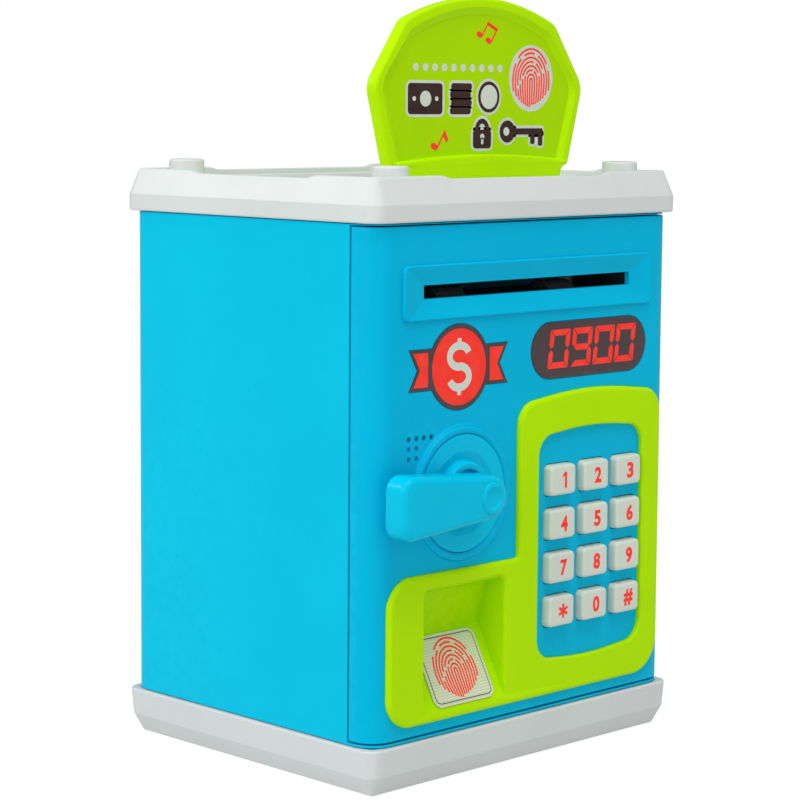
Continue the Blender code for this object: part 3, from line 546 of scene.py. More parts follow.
casingValues = {"edge": 0.25, "tongueLow": 8.0, "tongueHigh": 181.0, "tongueWall": 2.0,
                "roomLow": 18.5, "roomHigh": 172.5, "barHalf": 66.5, "barBack": -44.0,
                "sillLow": 11.5, "headerHigh": 179.0, "lipDepth": 2.4, "lipX": (-67.8, -63.5),
                "ribReach": 66.8, "ribHalf": 1.0, "ribLow": 9.5,
                "postRadius": 4.2, "postLow": 7.2, "postTop": 19.5, "pilot": 1.6, "pilotTop": 17.0}


def makeCasing():
    # The outer wall's ring keeps its outline and only rounds over at the two rims.
    c = casingValues
    low, high, tongue = box["caseLow"], box["caseHigh"], box["tongueInset"]
    casing = loft("casingShell", wallLine,
                  edgeProfile([(1.5, low, 0), (0, low, c["edge"]), (0, high, c["edge"]),
                               (1.5, high, 0)], 3), "z", "blue_plastic")
    carved(casing, [wallSolid("tongue", tongue, c["tongueLow"], c["tongueHigh"])], "UNION")
    carved(casing, [wallSolid("bore", tongue + c["tongueWall"], -5, 200)])
    carved(casing, [wallSolid("room", box["wall"], c["roomLow"], c["roomHigh"])])
    carved(casing, [slabBox("doorway", (-90, 90), (-90, box["caseStartY"]),
                            (box["sillTop"], box["headerLow"]))])
    edge = front + tongue + 0.5
    across, depth = (-c["barHalf"], c["barHalf"]), (edge, c["barBack"])
    carved(casing, [slabBox("sill", across, depth, (c["sillLow"], box["sillTop"])),
                    slabBox("header", across, depth, (box["headerLow"], c["headerHigh"]))],
           "UNION")
    start = box["caseStartY"]
    carved(casing, [slabBox("lip", c["lipX"], (start, start + c["lipDepth"]),
                            (box["sillTop"] - 1, box["headerLow"] + 1))], "UNION")
    ribs = [slabBox("rib", sorted((x, math.copysign(c["ribReach"], x))),
                    (y - c["ribHalf"], y + c["ribHalf"]), (c["ribLow"], c["postTop"]))
            for x, y in posts]
    carved(casing, ribs, "UNION")
    postRows = [(c["postRadius"], c["postLow"]), (c["postRadius"], c["postTop"])]
    carved(casing, [turned("post", at, postRows, "z", steps=32) for at in posts], "UNION")
    pilotRows = [(c["pilot"], 5), (c["pilot"], c["pilotTop"])]
    carved(casing, [turned("pilot", at, pilotRows, "z", steps=24) for at in posts])
    at = hinge["x"], hinge["y"]
    carved(casing, [turned("relief", at, [(hinge["relief"], box["sillTop"]),
                                          (hinge["relief"], box["headerLow"])], "z")])
    carved(casing, [turned("pinHole", at, [(hinge["pinHole"], 5), (hinge["pinHole"], 200)],
                           "z", steps=32)])
    return finished(casing, "case", ["casing"])


makeCasing()
print("stage: casing")


# White base and lid share one plan outline, pulled in by inset and cut finely on its sides.

def trimLine(inset):
    halfWidth = box["halfWidth"] + box["trimOverhang"] - inset
    halfDepth = box["halfDepth"] + box["trimOverhang"] - inset
    arcSteps, sideParts = 8, 72
    line = rectLine(-halfWidth, halfWidth, -halfDepth, halfDepth,
                    max(box["trimRadius"] - inset, 0.6), arcSteps)
    return divided(line, np.tile([1] * arcSteps + [sideParts], 4))


baseValues = {"footInset": 4.2, "breakInset": 0.8, "breakHeight": 6.2, "floor": 2.5,
              "floorInset": 6.4, "rebate": 6.9, "screwSink": 3.5, "sinkTop": 3.2,
              "screwHole": 1.9, "screwBoss": 5.4, "bossTop": 6.7}


def makeBase():
    b = baseValues
    fit = box["trimOverhang"] + box["tongueInset"] - box["gap"]
    top = box["baseTop"]
    rows = [(9.0, 0, 0), (b["footInset"], 0, 0.8), (b["breakInset"], b["breakHeight"], 1.5),
            (0, top, 0.6), (fit, top, 0.3), (fit, b["rebate"], 0), (b["floorInset"], b["floor"], 0),
            (10.0, b["floor"], 0)]
    base = loft("baseShell", trimLine, edgeProfile(rows), "z", "white_plastic")
    bossRows = [(b["screwBoss"], 1.0), (b["screwBoss"], b["bossTop"])]
    carved(base, [turned("boss", at, bossRows, "z") for at in posts], "UNION")
    sinkRows = [(b["screwSink"], -2), (b["screwSink"], b["sinkTop"]),
                (b["screwHole"], b["sinkTop"]), (b["screwHole"], 12)]
    carved(base, [turned("sink", at, sinkRows, "z", steps=40) for at in posts])
    return finished(base, "case", ["base_tray"])


lidValues = {"topInset": 3.4, "trayInset": 6.2, "dip": 1.0, "dipHalf": (37.0, 28.0),
             "pipAt": (54.0, 48.3), "pipRadius": 6.0, "pipTop": 193.0, "pipLow": 186.0,
             "tongueTop": 181.4, "under": 184.8, "rimFoot": 187.6, "coinSlot": (17, 14, 19),
             "socketX": 27, "socketHalf": 5.3, "socketY": (-35.6, -32.6)}


def makeLid():
    # The rim dips between the pips: height falls by dip where |x| or |y| is inside dipHalf.
    v = lidValues
    fit = box["trimOverhang"] + box["tongueInset"] - box["gap"]
    low, top, tray = box["lidLow"], box["lidTop"], box["trayFloor"]
    rows = [(10.0, tray, 0), (v["trayInset"], tray, 0.5), (v["trayInset"], top, 0.5),
            (v["topInset"], top, 0.9), (0, box["lidBreak"], 1.2), (0, low, 0.8),
            (fit, low, 0.2), (fit, v["tongueTop"], 0), (6.0, v["under"], 0),
            (10.0, v["under"], 0)]
    profile = edgeProfile(rows)
    rings = np.stack([placed(trimLine(inset), height, "z") for inset, height in profile])
    near = np.maximum(v["dipHalf"][0] - np.abs(rings[..., 0]),
                      v["dipHalf"][1] - np.abs(rings[..., 1]))
    dip = v["dip"] * np.clip((near + 2) / 4, 0, 1)
    outside = (np.arange(len(profile)) < len(profile) - 4)[:, None]
    share = np.clip((rings[..., 2] - v["rimFoot"]) / (top - v["rimFoot"]), 0, 1)
    rings[..., 2] -= dip * share * outside
    lid = ringSolid("lidShell", rings, "white_plastic")
    pipRows = edgeProfile([(3, v["pipLow"], 0), (v["pipRadius"], v["pipLow"], 0),
                           (v["pipRadius"] - 0.2, v["pipTop"], 0.8), (2, v["pipTop"], 0)])
    corners = [(x * v["pipAt"][0], y * v["pipAt"][1]) for x in (-1, 1) for y in (-1, 1)]
    carved(lid, [turned("pip", at, pipRows, "z") for at in corners], "UNION")
    half, slotLow, slotHigh = v["coinSlot"]
    cuts = [slabBox("coinSlot", (-half, half), (slotLow, slotHigh), (180, 200))]
    cuts += [slabBox("socket", (x - v["socketHalf"], x + v["socketHalf"]), v["socketY"], (180, 200))
             for x in (-v["socketX"], v["socketX"])]
    carved(lid, cuts)
    return finished(lid, "case", ["top_cap"])


makeBase()
makeLid()
print("stage: base and lid")


signValues = {"front": -36.0, "back": -31.5, "rim": 3.6, "recess": 1.3, "crownRise": 7.8,
              "low": (42.0, 191.8), "waist": (49.0, 218.0), "shoulder": (35.0, 238.2),
              "footHalf": 36.5, "footTop": (41.0, 193.4), "footRise": 2.4, "footProud": 1.3,
              "tabX": 27, "tabHalf": 5}


def signLine(inset):
    # Low corner, widest point and shoulder on each side, with a parabolic crown between shoulders.
    s = signValues
    (lowX, low), (waistX, waist), (shoulderX, shoulder) = s["low"], s["waist"], s["shoulder"]
    topX, top = shoulderX - inset * 0.7, shoulder - inset

    def side(way):
        return [(way * (lowX - inset), low + inset * 0.4, 1.2), (way * (waistX - inset), waist, 8.0),
                (way * topX, top, 5.0)]

    crown = archPoints((topX, top), (-topX, top), s["crownRise"], 28)
    return roundedLine(side(1) + crown + side(-1)[::-1], 8)


def makeSign():
    s = signValues
    face, back = s["front"], s["back"]
    rows = [(8.0, face + s["recess"], 0), (s["rim"] + 1.3, face + s["recess"], 1.2),
            (s["rim"] - 0.5, face, 1.0), (0, face, 1.1), (0, back, 0.8), (4.0, back, 0)]
    sign = loft("signBoard", signLine, edgeProfile(rows), "y", "lime_plastic")
    half, sole, (topX, top) = s["footHalf"], box["trayFloor"] + 0.3, s["footTop"]
    corners = [(-half, sole, 0), (half, sole, 0), (half + 1, top - 2.9, 0), (topX, top, 0)]
    corners += archPoints((topX, top), (-topX, top), s["footRise"], 24)
    corners += [(-topX, top, 0), (-half - 1, top - 2.9, 0)]
    footLine = roundedLine(corners)
    proud = face - s["footProud"]
    rows = edgeProfile([(1.6, proud, 0), (0, proud, 1.0), (0, back - 0.1, 0.3),
                        (1.0, back - 0.1, 0)], 3)
    carved(sign, [slopedPrism("signFoot", footLine, rows)], "UNION")
    # The recess floor faces take the darker lime as painted shade.
    sign.data.materials.append(finishes["lime_recess_shade"])
    faces = sign.data.polygons
    centre, normal = np.zeros(len(faces) * 3), np.zeros(len(faces) * 3)
    faces.foreach_get("center", centre)
    faces.foreach_get("normal", normal)
    floorY = (face + s["recess"]) * mm
    onFloor = np.abs(centre.reshape(-1, 3)[:, 1] - floorY) < 1e-5
    faces.foreach_set("material_index",
                      (onFloor & (normal.reshape(-1, 3)[:, 1] < -0.99)).astype(np.int32))
    tabs = [slabBox("tab", (x - s["tabHalf"], x + s["tabHalf"]), (face + 0.7, face + 3.1),
                    (182.5, 190)) for x in (-s["tabX"], s["tabX"])]
    carved(sign, tabs, "UNION")
    return finished(sign, "case", ["topper_sign"])


makeSign()
print("stage: sign")


# The door: a shallow pan with the note slot, dial seat, keypad island and label seats.

doorValues = {"edge": 0.35, "bezelHalf": 58.5, "bezelLow": 145.9, "bezelHigh": 163.1,
              "bezelProud": 1.2, "slotHalf": 48.5, "slotLow": 152.45, "slotHigh": 156.75,
              "dialX": -32.0, "dialZ": 91.0, "ringOuter": 21.3, "ringInner": 18.8,
              "ringProud": 1.5, "holeFirstX": -55.0, "holePitch": 3.27, "holeRadius": 0.88,
              "holeRowsZ": (109.8, 106.8, 103.7), "screwsX": (-55.0, 49.5),
              "screwsZ": (27.0, 165.2), "bossRadius": 3.4, "bossBack": -31.2, "pilot": 1.5,
              "guideRows": ((81.6, 83.2), (90.9, 92.5))}
bay = {"left": -48.8, "right": -12.6, "wall": 1.3, "lip": 1.3, "corner": 2.6,
       "section": ((-60.2, 62.4), (-51.7, 59.6), (-47.4, 46.9), (-60.2, 23.1))}
keyValues = {"firstX": 13.2, "pitchX": 16.4, "rowsZ": (90.7, 76.3, 61.9, 47.5),
             "half": (6.3, 5.1), "corner": 1.8, "proud": 3.0, "topRound": 0.95,
             "names": ("1", "2", "3", "4", "5", "6", "7", "8", "9", "star", "0", "hash")}
keypad = {"left": 3.1, "right": 54.3, "low": 32.8, "top": 105.2, "corner": 7.0,
          "arcFrom": 7.5, "swell": 0.6, "sag": 1.2, "rise": 1.3}
badge = {"x": -33.3, "z": 130.7, "radius": 13.4, "tip": 22.0, "notch": 18.2, "half": 6.3}
display = {"left": 0.0, "right": 56.6, "low": 123.8, "high": 142.1}


def panelLine():
    # Keypad field on the right with a lobe for the scanner on the lower left.
    left, right, low, top, waist, lobe = -64.2, 63.8, 20.0, 116.6, -6.3, 67.2
    corners = [(left, low, 10.0), (right, low, 12.0), (right, top, 8.0)]
    corners += archPoints((right - 14, top + 1.6), (waist + 14, top + 1.6), 1.4, 14)
    corners += [(waist, top, 8.0), (waist, lobe, 0.8), (left, lobe, 10.0)]
    return roundedLine(corners, 10)


def keypadLine():
    k = keypad
    left, right, low, top, corner = k["left"], k["right"], k["low"], k["top"], k["corner"]
    first, last = left + k["arcFrom"], right - k["arcFrom"]
    corners = [(left, low, corner)]
    corners += archPoints((first, low - k["swell"]), (last, low - k["swell"]), -k["sag"], 12)
    corners += [(right, low, corner), (right, top, corner)]
    corners += archPoints((last, top + k["swell"]), (first, top + k["swell"]), k["rise"], 12)
    corners += [(left, top, corner)]
    return roundedLine(corners, 8)


def badgeLine(grow=0.0):
    # Round medal with a swallow-tailed ribbon end on each side.
    radius, tip = badge["radius"] + grow, badge["tip"] + grow
    notch, half = badge["notch"] + grow * 1.3, badge["half"] + grow
    centre = np.array((badge["x"], badge["z"]))
    meet = math.degrees(math.asin(half / radius))
    top = arcPath(centre, (radius, radius), meet, 180 - meet, 32)
    tail = np.array([(-tip, half), (-notch, 0.0), (-tip, -half)])
    return np.concatenate([top, centre + tail, 2 * centre - top, centre - tail])


def makeDoor():
    d = doorValues
    low, high, wall = box["doorLow"], box["doorHigh"], box["wall"]

    def shellLine(inset):
        half = box["halfWidth"] - inset
        return rectLine(-half, half, front + inset, -20, max(box["cornerRadius"] - inset, 0.6), 12)

    # The door takes the darker door blue: painted shade on its front.
    door = loft("doorShell", shellLine,
                edgeProfile([(2.0, low, 0), (0, low, d["edge"]), (0, high, d["edge"]),
                             (2.0, high, 0)], 3), "z", "blue_door_shaded")
    room = loft("room", shellLine, [(wall, low + wall), (wall, high - wall)], "z")
    carved(door, [room])
    carved(door, [slabBox("behind", (-90, 90), (box["seamY"], 90), (0, 200))])
    at = hinge["x"], hinge["y"]
    knuckles = [turned("knuckle", at, [(hinge["knuckle"], a), (hinge["knuckle"], b)], "z")
                for a, b in ((low + 0.5, 27.0), (165.0, high - 0.5))]
    carved(door, knuckles, "UNION")
    carved(door, [turned("pivot", at, [(hinge["pinHole"], 5), (hinge["pinHole"], 200)], "z")])
    addBezel(door)
    addDialSeat(door)
    cutPanelSeat(door)
    addDoorBosses(door)
    return finished(door, "door", ["front_door"])


def addBezel(door):
    # A raised frame whose face falls in four slopes to the note slot.
    d = doorValues
    face = front - d["bezelProud"]
    frameLine = rectLine(-d["bezelHalf"], d["bezelHalf"], d["bezelLow"], d["bezelHigh"], 2.4, 8)
    rows = plateRows(2.0, front + 0.6, face, 0.7, 5)
    carved(door, [slopedPrism("bezel", frameLine, rows)], "UNION")
    outer = rectLine(-d["bezelHalf"] - 1.5, d["bezelHalf"] + 1.5, d["bezelLow"] - 1.5,
                     d["bezelHigh"] + 1.5, 1.6, 4)
    inner = rectLine(-d["slotHalf"] - 0.6, d["slotHalf"] + 0.6, d["slotLow"] - 0.4,
                     d["slotHigh"] + 0.4, 0.3, 4)
    rings = np.stack([placed(outer, face - 0.65, "y"), placed(inner, front + 0.6, "y")])
    carved(door, [ringSolid("funnel", rings)])
    carved(door, [prism("slot", rectLine(-d["slotHalf"], d["slotHalf"], d["slotLow"],
                                         d["slotHigh"], 0.4), -80, -50, "y")])


def addDialSeat(door):
    d = doorValues
    at, face = (d["dialX"], d["dialZ"]), front - d["ringProud"]
    outer, inner = d["ringOuter"], d["ringInner"]
    flare = outer + 1.1
    bead = edgeProfile([(3, front + 0.6, 0), (flare, front + 0.6, 0), (flare, front - 0.02, 0),
                        (outer, front - 0.1, 0.8), (outer, face, 1.0),
                        (inner - 0.2, face, 1.15), (inner - 0.2, front - 0.1, 0),
                        (3, front - 0.1, 0)], 8)
    carved(door, [turned("ring", at, bead, "y", steps=128)], "UNION")
    seat = [(inner, -80), (inner, front + 1.0), (4.6, front + 1.0), (4.6, -50)]
    carved(door, [turned("seat", at, seat, "y", steps=128)])
    across = d["holeFirstX"] + d["holePitch"] * np.arange(4)
    through, radius = d["holeRowsZ"][0], d["holeRadius"]
    holes = [turned("soundHole", (x, through), [(radius, -70), (radius, -50)], "y", steps=20)
             for x in across]
    dimple = [(radius + 0.05, -70), (radius - 0.1, front + 1.0)]
    holes += [turned("dimple", (x, z), dimple, "y", steps=20)
              for x in across[:2] for z in d["holeRowsZ"][1:]]
    carved(door, holes)


def cutPanelSeat(door):
    pocket = front + 0.6
    carved(door, [prism("pocket", grown(panelLine(), 0.06), -70, pocket, "y")])
    carved(door, [prism("island", keypadLine(), front, pocket + 0.5, "y")], "UNION")
    grow = bay["wall"] + box["gap"]
    cuts = [prism("bayHole", rectLine(bay["left"] - grow, bay["right"] + grow,
                                      bay["section"][3][1] + 0.15, bay["section"][0][1] + 2.0),
                  -70, -50, "y")]
    cuts += [prism("keyHole", grown(keyOutline(*at), 0.35), -70, -50, "y") for at in keyPlaces()]
    cuts += [prism("displaySeat", displayLine(-0.3), -70, front + 0.5, "y"),
             prism("badgeSeat", badgeLine(0.3), -70, front + 0.5, "y")]
    carved(door, cuts)


def addDoorBosses(door):
    d = doorValues
    screws = [(x, z) for z in d["screwsZ"] for x in d["screwsX"]]
    bossRows = [(d["bossRadius"], doorInside - 0.5), (d["bossRadius"], d["bossBack"])]
    bosses = [turned("boss", at, bossRows, "y", steps=32) for at in screws]
    guides = [slabBox("guide", (-55, -50), (doorInside - 0.5, -41.4), rows)
              for rows in d["guideRows"]]
    carved(door, bosses + guides, "UNION")
    carved(door, [turned("pilot", at, [(d["pilot"], -46), (d["pilot"], -20)], "y", steps=24)
                  for at in screws])


def displayLine(inset):
    return rectLine(display["left"] + inset, display["right"] - inset, display["low"] + inset,
                    display["high"] - inset, 9.1 - inset, 16)


def keyPlaces():
    k = keyValues
    return [(k["firstX"] + column * k["pitchX"], z) for z in k["rowsZ"] for column in range(3)]


def keyOutline(x, z):
    halfX, halfZ = keyValues["half"]
    return rectLine(x - halfX, x + halfX, z - halfZ, z + halfZ, keyValues["corner"], 8)


makeDoor()
print("stage: door")


panelValues = {"proud": 1.7, "edge": 1.5, "windowLip": 0.9}


def lipRows(radius, face, deep):
    # A cutter that flares by a quarter circle, so that the edge it leaves is rounded.
    turn = np.radians(np.linspace(0, 90, 8))
    arc = np.stack([-radius + radius * np.sin(turn), face + radius - radius * np.cos(turn)], -1)
    return [(-radius, face - 1.0), *arc.tolist(), (0.0, deep)]


def makePanel():
    p = panelValues
    face, back = front - p["proud"], front + 0.3
    line = panelLine()
    rows = plateRows(4.0, back, face, p["edge"], 7)
    panel = slopedPrism("controlPanel", line, rows, "lime_plastic")
    window = grown(keypadLine(), 0.08)
    carved(panel, [slopedPrism("window", window, lipRows(p["windowLip"], face, -40))])
    ceiling, backTop, backFoot, rampEnd = bay["section"]
    wall = bay["wall"]
    outside = [(back - 0.2, rampEnd[1] + 0.7), (back - 0.2, ceiling[1] + wall),
               (backTop[0] + 0.7, backTop[1] + wall + 0.2),
               (backFoot[0] + wall + 0.2, backFoot[1] + 0.3), (back + 0.6, rampEnd[1] + 2.1)]
    carved(panel, [prism("bayOutside", np.array(outside), bay["left"] - wall,
                         bay["right"] + wall, "x")], "UNION")
    inside = roundedLine([(-80, rampEnd[1], 0), (-80, ceiling[1], 0), (*ceiling, 0),
                          (*backTop, 1.0), (*backFoot, 1.0), (*rampEnd, 0)], 5)
    hollow = prism("bayInside", inside, bay["left"], bay["right"], "x")
    mouth = rectLine(bay["left"], bay["right"], 0, ceiling[1], bay["corner"], 10)
    carved(hollow, [prism("bayMouth", mouth, -90, -40, "y")], "INTERSECT")
    carved(panel, [hollow])
    lip = rectLine(bay["left"], bay["right"], rampEnd[1] + 3.4, ceiling[1], bay["corner"], 10)
    carved(panel, [slopedPrism("bayLip", lip,
                               lipRows(bay["lip"], face, face + bay["lip"] + 0.05))])
    return finished(panel, "door", ["control_panel"])


makePanel()
print("stage: control panel")


def makeKeys():
    # Each key rises from a wide foot behind the door and rounds over at its top.
    k = keyValues
    rear, top = doorInside + 0.3, front - k["proud"]
    rows = edgeProfile([(-0.9, rear + 1.0, 0), (-0.9, rear, 0), (0, rear, 0), (0, front - 0.2, 0),
                        (0.3, top, k["topRound"]), (1.7, top - 0.04, 0)], 7)
    for name, at in zip(k["names"], keyPlaces()):
        key = slopedPrism("key" + name.capitalize(), keyOutline(*at), rows, "key_plastic")
        finished(key, "key_" + name, ["key_" + name])


printValues = {"thick": 0.05, "numeralSize": (3.3, 5.3), "hashSize": (4.6, 5.6),
               "numeralShift": 0.5, "bold": 0.04, "starReach": 2.3, "starBar": 0.95}


def textSolid(name, words, centre, size, level, finish):
    # A glyph is made flat, turned to a mesh, thickened, and scaled to size on its own box.
    curve = bpy.data.curves.new(name, "FONT")
    curve.body = words
    curve.extrude = 0.02
    curve.offset = printValues["bold"]
    curve.resolution_u = 6
    source = bpy.data.objects.new(name + "Source", curve)
    bpy.context.scene.collection.objects.link(source)
    graph = bpy.context.evaluated_depsgraph_get()
    mesh = bpy.data.meshes.new_from_object(source.evaluated_get(graph))
    bpy.data.objects.remove(source, do_unlink=True)
    place = np.zeros(len(mesh.vertices) * 3)
    mesh.vertices.foreach_get("co", place)
    place = place.reshape(-1, 3)
    low, high = place.min(0), place.max(0)
    unit = (place - (low + high) / 2) / (high - low)
    thick = printValues["thick"]
    spot = np.stack([centre[0] + unit[:, 0] * size[0], level - unit[:, 2] * thick,
                     centre[1] + unit[:, 1] * size[1]], -1) * mm
    mesh.vertices.foreach_set("co", spot.ravel())
    mesh.name = name
    cleaned(mesh)
    piece = bpy.data.objects.new(name, mesh)
    bpy.context.scene.collection.objects.link(piece)
    mesh.materials.clear()
    mesh.materials.append(finishes[finish])
    return piece


def starSolid(centre, level):
    # Three bars crossing at 60 degrees; each is a hair thicker than the last.
    p = printValues
    turn = np.radians((30.0, 90.0, 150.0))
    bars = []
    for k, angle in enumerate(turn):
        along = np.array((math.cos(angle), math.sin(angle)))
        path = np.array(centre) + along * np.linspace(-p["starReach"], p["starReach"], 5)[:, None]
        bars.append(prism("numeralStar", ribbonLine(path, p["starBar"]), level,
                          level - p["thick"] - 0.006 * k, "y", "label_red"))
    return joined("numeralStar", bars)


oneLine = np.array([(0.95, -2.65), (0.95, 2.65), (0.1, 2.65), (-1.0, 1.85), (-1.0, 0.85),
                    (-0.05, 1.5), (-0.05, -2.65)])


def makeNumerals():
    k, p = keyValues, printValues
    level = front - k["proud"] - 0.05
    for name, at in zip(k["names"], keyPlaces()):
        centre = at[0] + p["numeralShift"], at[1]
        if name == "star":
            glyph = starSolid(centre, level)
        elif name == "1":
            glyph = prism("numeral1", oneLine + centre, level, level - p["thick"], "y",
                          "label_red")
        elif name == "hash":
            glyph = textSolid("numeralHash", "#", centre, p["hashSize"], level, "label_red")
        else:
            glyph = textSolid("numeral" + name, name, centre, p["numeralSize"], level, "label_red")
        finished(glyph, "key_" + name)


makeKeys()
makeNumerals()
print("stage: keys")


dialValues = {"outer": 18.62, "flat": 13.4, "dish": 10.9, "hub": 9.9, "well": 7.5}
leverValues = {"left": -70.5, "wide": 10.3, "pivotRadius": 7.0, "face": 14.0, "back": 5.2,
               "frontRound": 2.3, "backRound": 1.2, "stem": 4.2, "stemBack": -52.4, "screwHead": 3.1,
               "screwHole": 1.7, "cap": 5.15, "capRim": 1.6, "capProud": 0.7}


def makeHandle():
    d, v = dialValues, leverValues
    at = doorValues["dialX"], doorValues["dialZ"]
    rows = [(3, front + 0.7, 0), (d["outer"], front + 0.7, 0), (d["outer"], front - 1.4, 0.5),
            (d["flat"], front - 1.4, 0.5), (d["dish"], front - 0.3, 0.5), (10.5, front - 0.3, 0.2),
            (d["hub"], front - 3.4, 0.8), (d["well"] + 0.2, front - 3.4, 0.6),
            (d["well"], front - 0.5, 0.2), (3, front - 0.5, 0)]
    finished(turned("dialDisc", at, edgeProfile(rows, 6), "y", "blue_gloss", 128),
             "handle", ["dial_disc"])
    face, back = front - v["face"], front - v["back"]
    turn = np.radians(np.linspace(-82, 82, 25))
    end = np.stack([at[0] + v["pivotRadius"] * np.cos(turn),
                    at[1] + v["pivotRadius"] * np.sin(turn), np.zeros(25)], -1).tolist()
    line = roundedLine([(v["left"], at[1] - v["wide"], 5.0), *end,
                        (v["left"], at[1] + v["wide"], 5.0)], 10)
    rows = edgeProfile([(4.4, back, 0), (0, back, v["backRound"]), (0, face, v["frontRound"]),
                        (4.4, face - 0.12, 0)], 8)
    lever = slopedPrism("handleLever", line, rows, "blue_gloss")
    stem = [(v["stem"], back - 2), (v["stem"], v["stemBack"])]
    carved(lever, [turned("stem", at, stem, "y", steps=48)], "UNION")
    seat = v["cap"] + 0.03
    steps = [(seat, -90), (seat, face + 2.0), (v["screwHead"], face + 2.0),
             (v["screwHead"], face + 5.0), (v["screwHole"], face + 5.0), (v["screwHole"], -40)]
    carved(lever, [turned("screwSeat", at, steps, "y", steps=64)])
    finished(lever, "handle", ["handle_lever"])
    proud, rim = v["capProud"], v["cap"] - v["capRim"]
    cap = edgeProfile([(1.2, face + 1.7, 0), (v["cap"], face + 1.7, 0), (v["cap"], face - proud, 0.9),
                       (rim, face - proud, 0.5), (rim - 0.9, face - 0.1, 0.5),
                       (1.2, face - 0.05, 0)], 6)
    finished(turned("handleCap", at, cap, "y", "blue_gloss", 72), "handle",
             ["handle_cap"])


makeHandle()
print("stage: handle")


digitValues = {"lefts": (7.6, 18.6, 29.6, 40.4), "low": 127.0, "width": 9.7, "tall": 12.6,
               "stroke": 2.0, "gap": 0.2, "slant": 0.12, "number": "0900"}
segmentsOf = {"0": "abcdef", "9": "abcdfg"}


def segmentLine(digitLeft, segment):
    # A bar between two corners of the digit: mitred at the outer corners, pointed at half
    # height, with a thin gap to its neighbours, and leaning by slant.
    v = digitValues
    wide, tall, half = v["width"] - v["stroke"], (v["tall"] - v["stroke"]) / 2, v["stroke"] / 2
    ends = {"a": ((0, 2), (1, 2)), "b": ((1, 2), (1, 1)), "c": ((1, 1), (1, 0)),
            "d": ((0, 0), (1, 0)), "e": ((0, 1), (0, 0)), "f": ((0, 2), (0, 1)),
            "g": ((0, 1), (1, 1))}[segment]
    reach = [half if row == 1 else -half for _, row in ends]
    ends = np.array(ends) * (wide, tall)
    along = (ends[1] - ends[0]) / np.linalg.norm(ends[1] - ends[0])
    across = np.array((-along[1], along[0])) * half
    outward = across @ (ends.mean(0) - (wide / 2, tall)) >= 0
    across = across if outward else -across
    a, b = ends[0] + along * v["gap"], ends[1] - along * v["gap"]
    line = np.stack([a, a + along * reach[0] + across, b - along * reach[1] + across, b,
                     b - along * half - across, a + along * half - across])
    line += (digitLeft + half, v["low"] + half)
    line[:, 0] += v["slant"] * (line[:, 1] - v["low"])
    return line if outward else line[::-1]


def makeDisplay():
    label = loft("displayLabel", displayLine,
                 plateRows(2, front + 0.2, front - 0.1, 0.1, 3), "y", "label_dark")
    finished(label, "door", ["display_label"])
    v, level = digitValues, front - 0.1
    bars = [prism("bar", segmentLine(left, segment), level, level - 0.05, "y", "label_red")
            for left, digit in zip(v["lefts"], v["number"]) for segment in segmentsOf[digit]]
    finished(joined("displayDigits", bars), "door")


def makeBadge():
    border = prism("badgeBorder", badgeLine(), front + 0.2, front - 0.1, "y", "label_dark")
    finished(border, "door", ["badge_label"])
    at, level = (badge["x"], badge["z"]), front - 0.1
    lines = [circleLine(*at, badge["radius"] - 1.4, 96)]
    reach, half, tip = badge["radius"] + 0.4, badge["half"] - 1.0, badge["tip"] - 1.9
    for way in (-1, 1):
        tail = np.array([(reach, -half), (tip, -half), (badge["notch"] - 1.0, 0), (tip, half),
                         (reach, half)])
        lines.append(np.array(at) + tail * (way, 1))
    red = [prism("badgeRed", line, level, level - printValues["thick"], "y", "label_red")
           for line in lines]
    finished(joined("badgeRed", red), "door")
    upper = arcPath((at[0], at[1] + 3.35), (4.3, 3.3), 18, 270, 40)
    lower = arcPath((at[0], at[1] - 3.15), (4.3, 3.3), 90, -162, 40)
    curl = prism("badgeSign", ribbonLine(np.concatenate([upper, lower[1:]]), 2.5),
                 level, level - 0.09, "y", "print_pale")
    bars = [rectLine(at[0] - 0.85, at[0] + 0.85, at[1] + low, at[1] + high, 0.3, 4)
            for low, high in ((5.4, 9.0), (-8.8, -5.2))]
    bars = [prism("bar", line, level, level - 0.08, "y", "print_pale") for line in bars]
    finished(joined("badgeSign", [curl] + bars), "door")


printLoops = {"count": 8, "stroke": 0.62, "core": -0.10, "pinch": 0.25}


def whorl(name, centre, reach, low, high, axis):
    # Arches one inside the other round a core: half an oval over the top, then a tail on
    # each side that bends in and runs down to the rim of the whole print, in long strokes.
    v, loops = printLoops, []
    core = v["core"] * reach[1]
    for k in range(v["count"]):
        share = (k + 0.5) / (v["count"] - 0.4)
        wide, tall = reach[0] * share, (reach[1] - core) * share
        foot = -reach[1] * math.sqrt(1 - (0.9 * share) ** 2)
        fall = np.linspace(foot, core, 13)[:-1]
        pinch = 1 - v["pinch"] * ((core - fall) / (core + reach[1])) ** 2
        left = np.stack([-wide * pinch, fall], -1)
        right = np.stack([wide * pinch, fall], -1)[::-1]
        arch = arcPath((0, core), (wide, tall), 180, 0, 28)
        path = np.concatenate([left, arch, right]) + centre
        breaks = [0, 8 + (k * 13) % 16, 30 + (k * 7) % 14, len(path)] if k > 1 else [0, len(path)]
        for first, last in zip(breaks[:-1], breaks[1:]):
            stroke = ribbonLine(path[first:last - 1], v["stroke"])
            loops.append(prism("loop", stroke, low, high, axis, "label_red"))
    return joined(name, loops)


padValues = {"left": -43.6, "right": -16.6, "low": 1.0, "topGap": 2.6, "corner": 3.0,
             "whorl": (9.0, 9.9)}


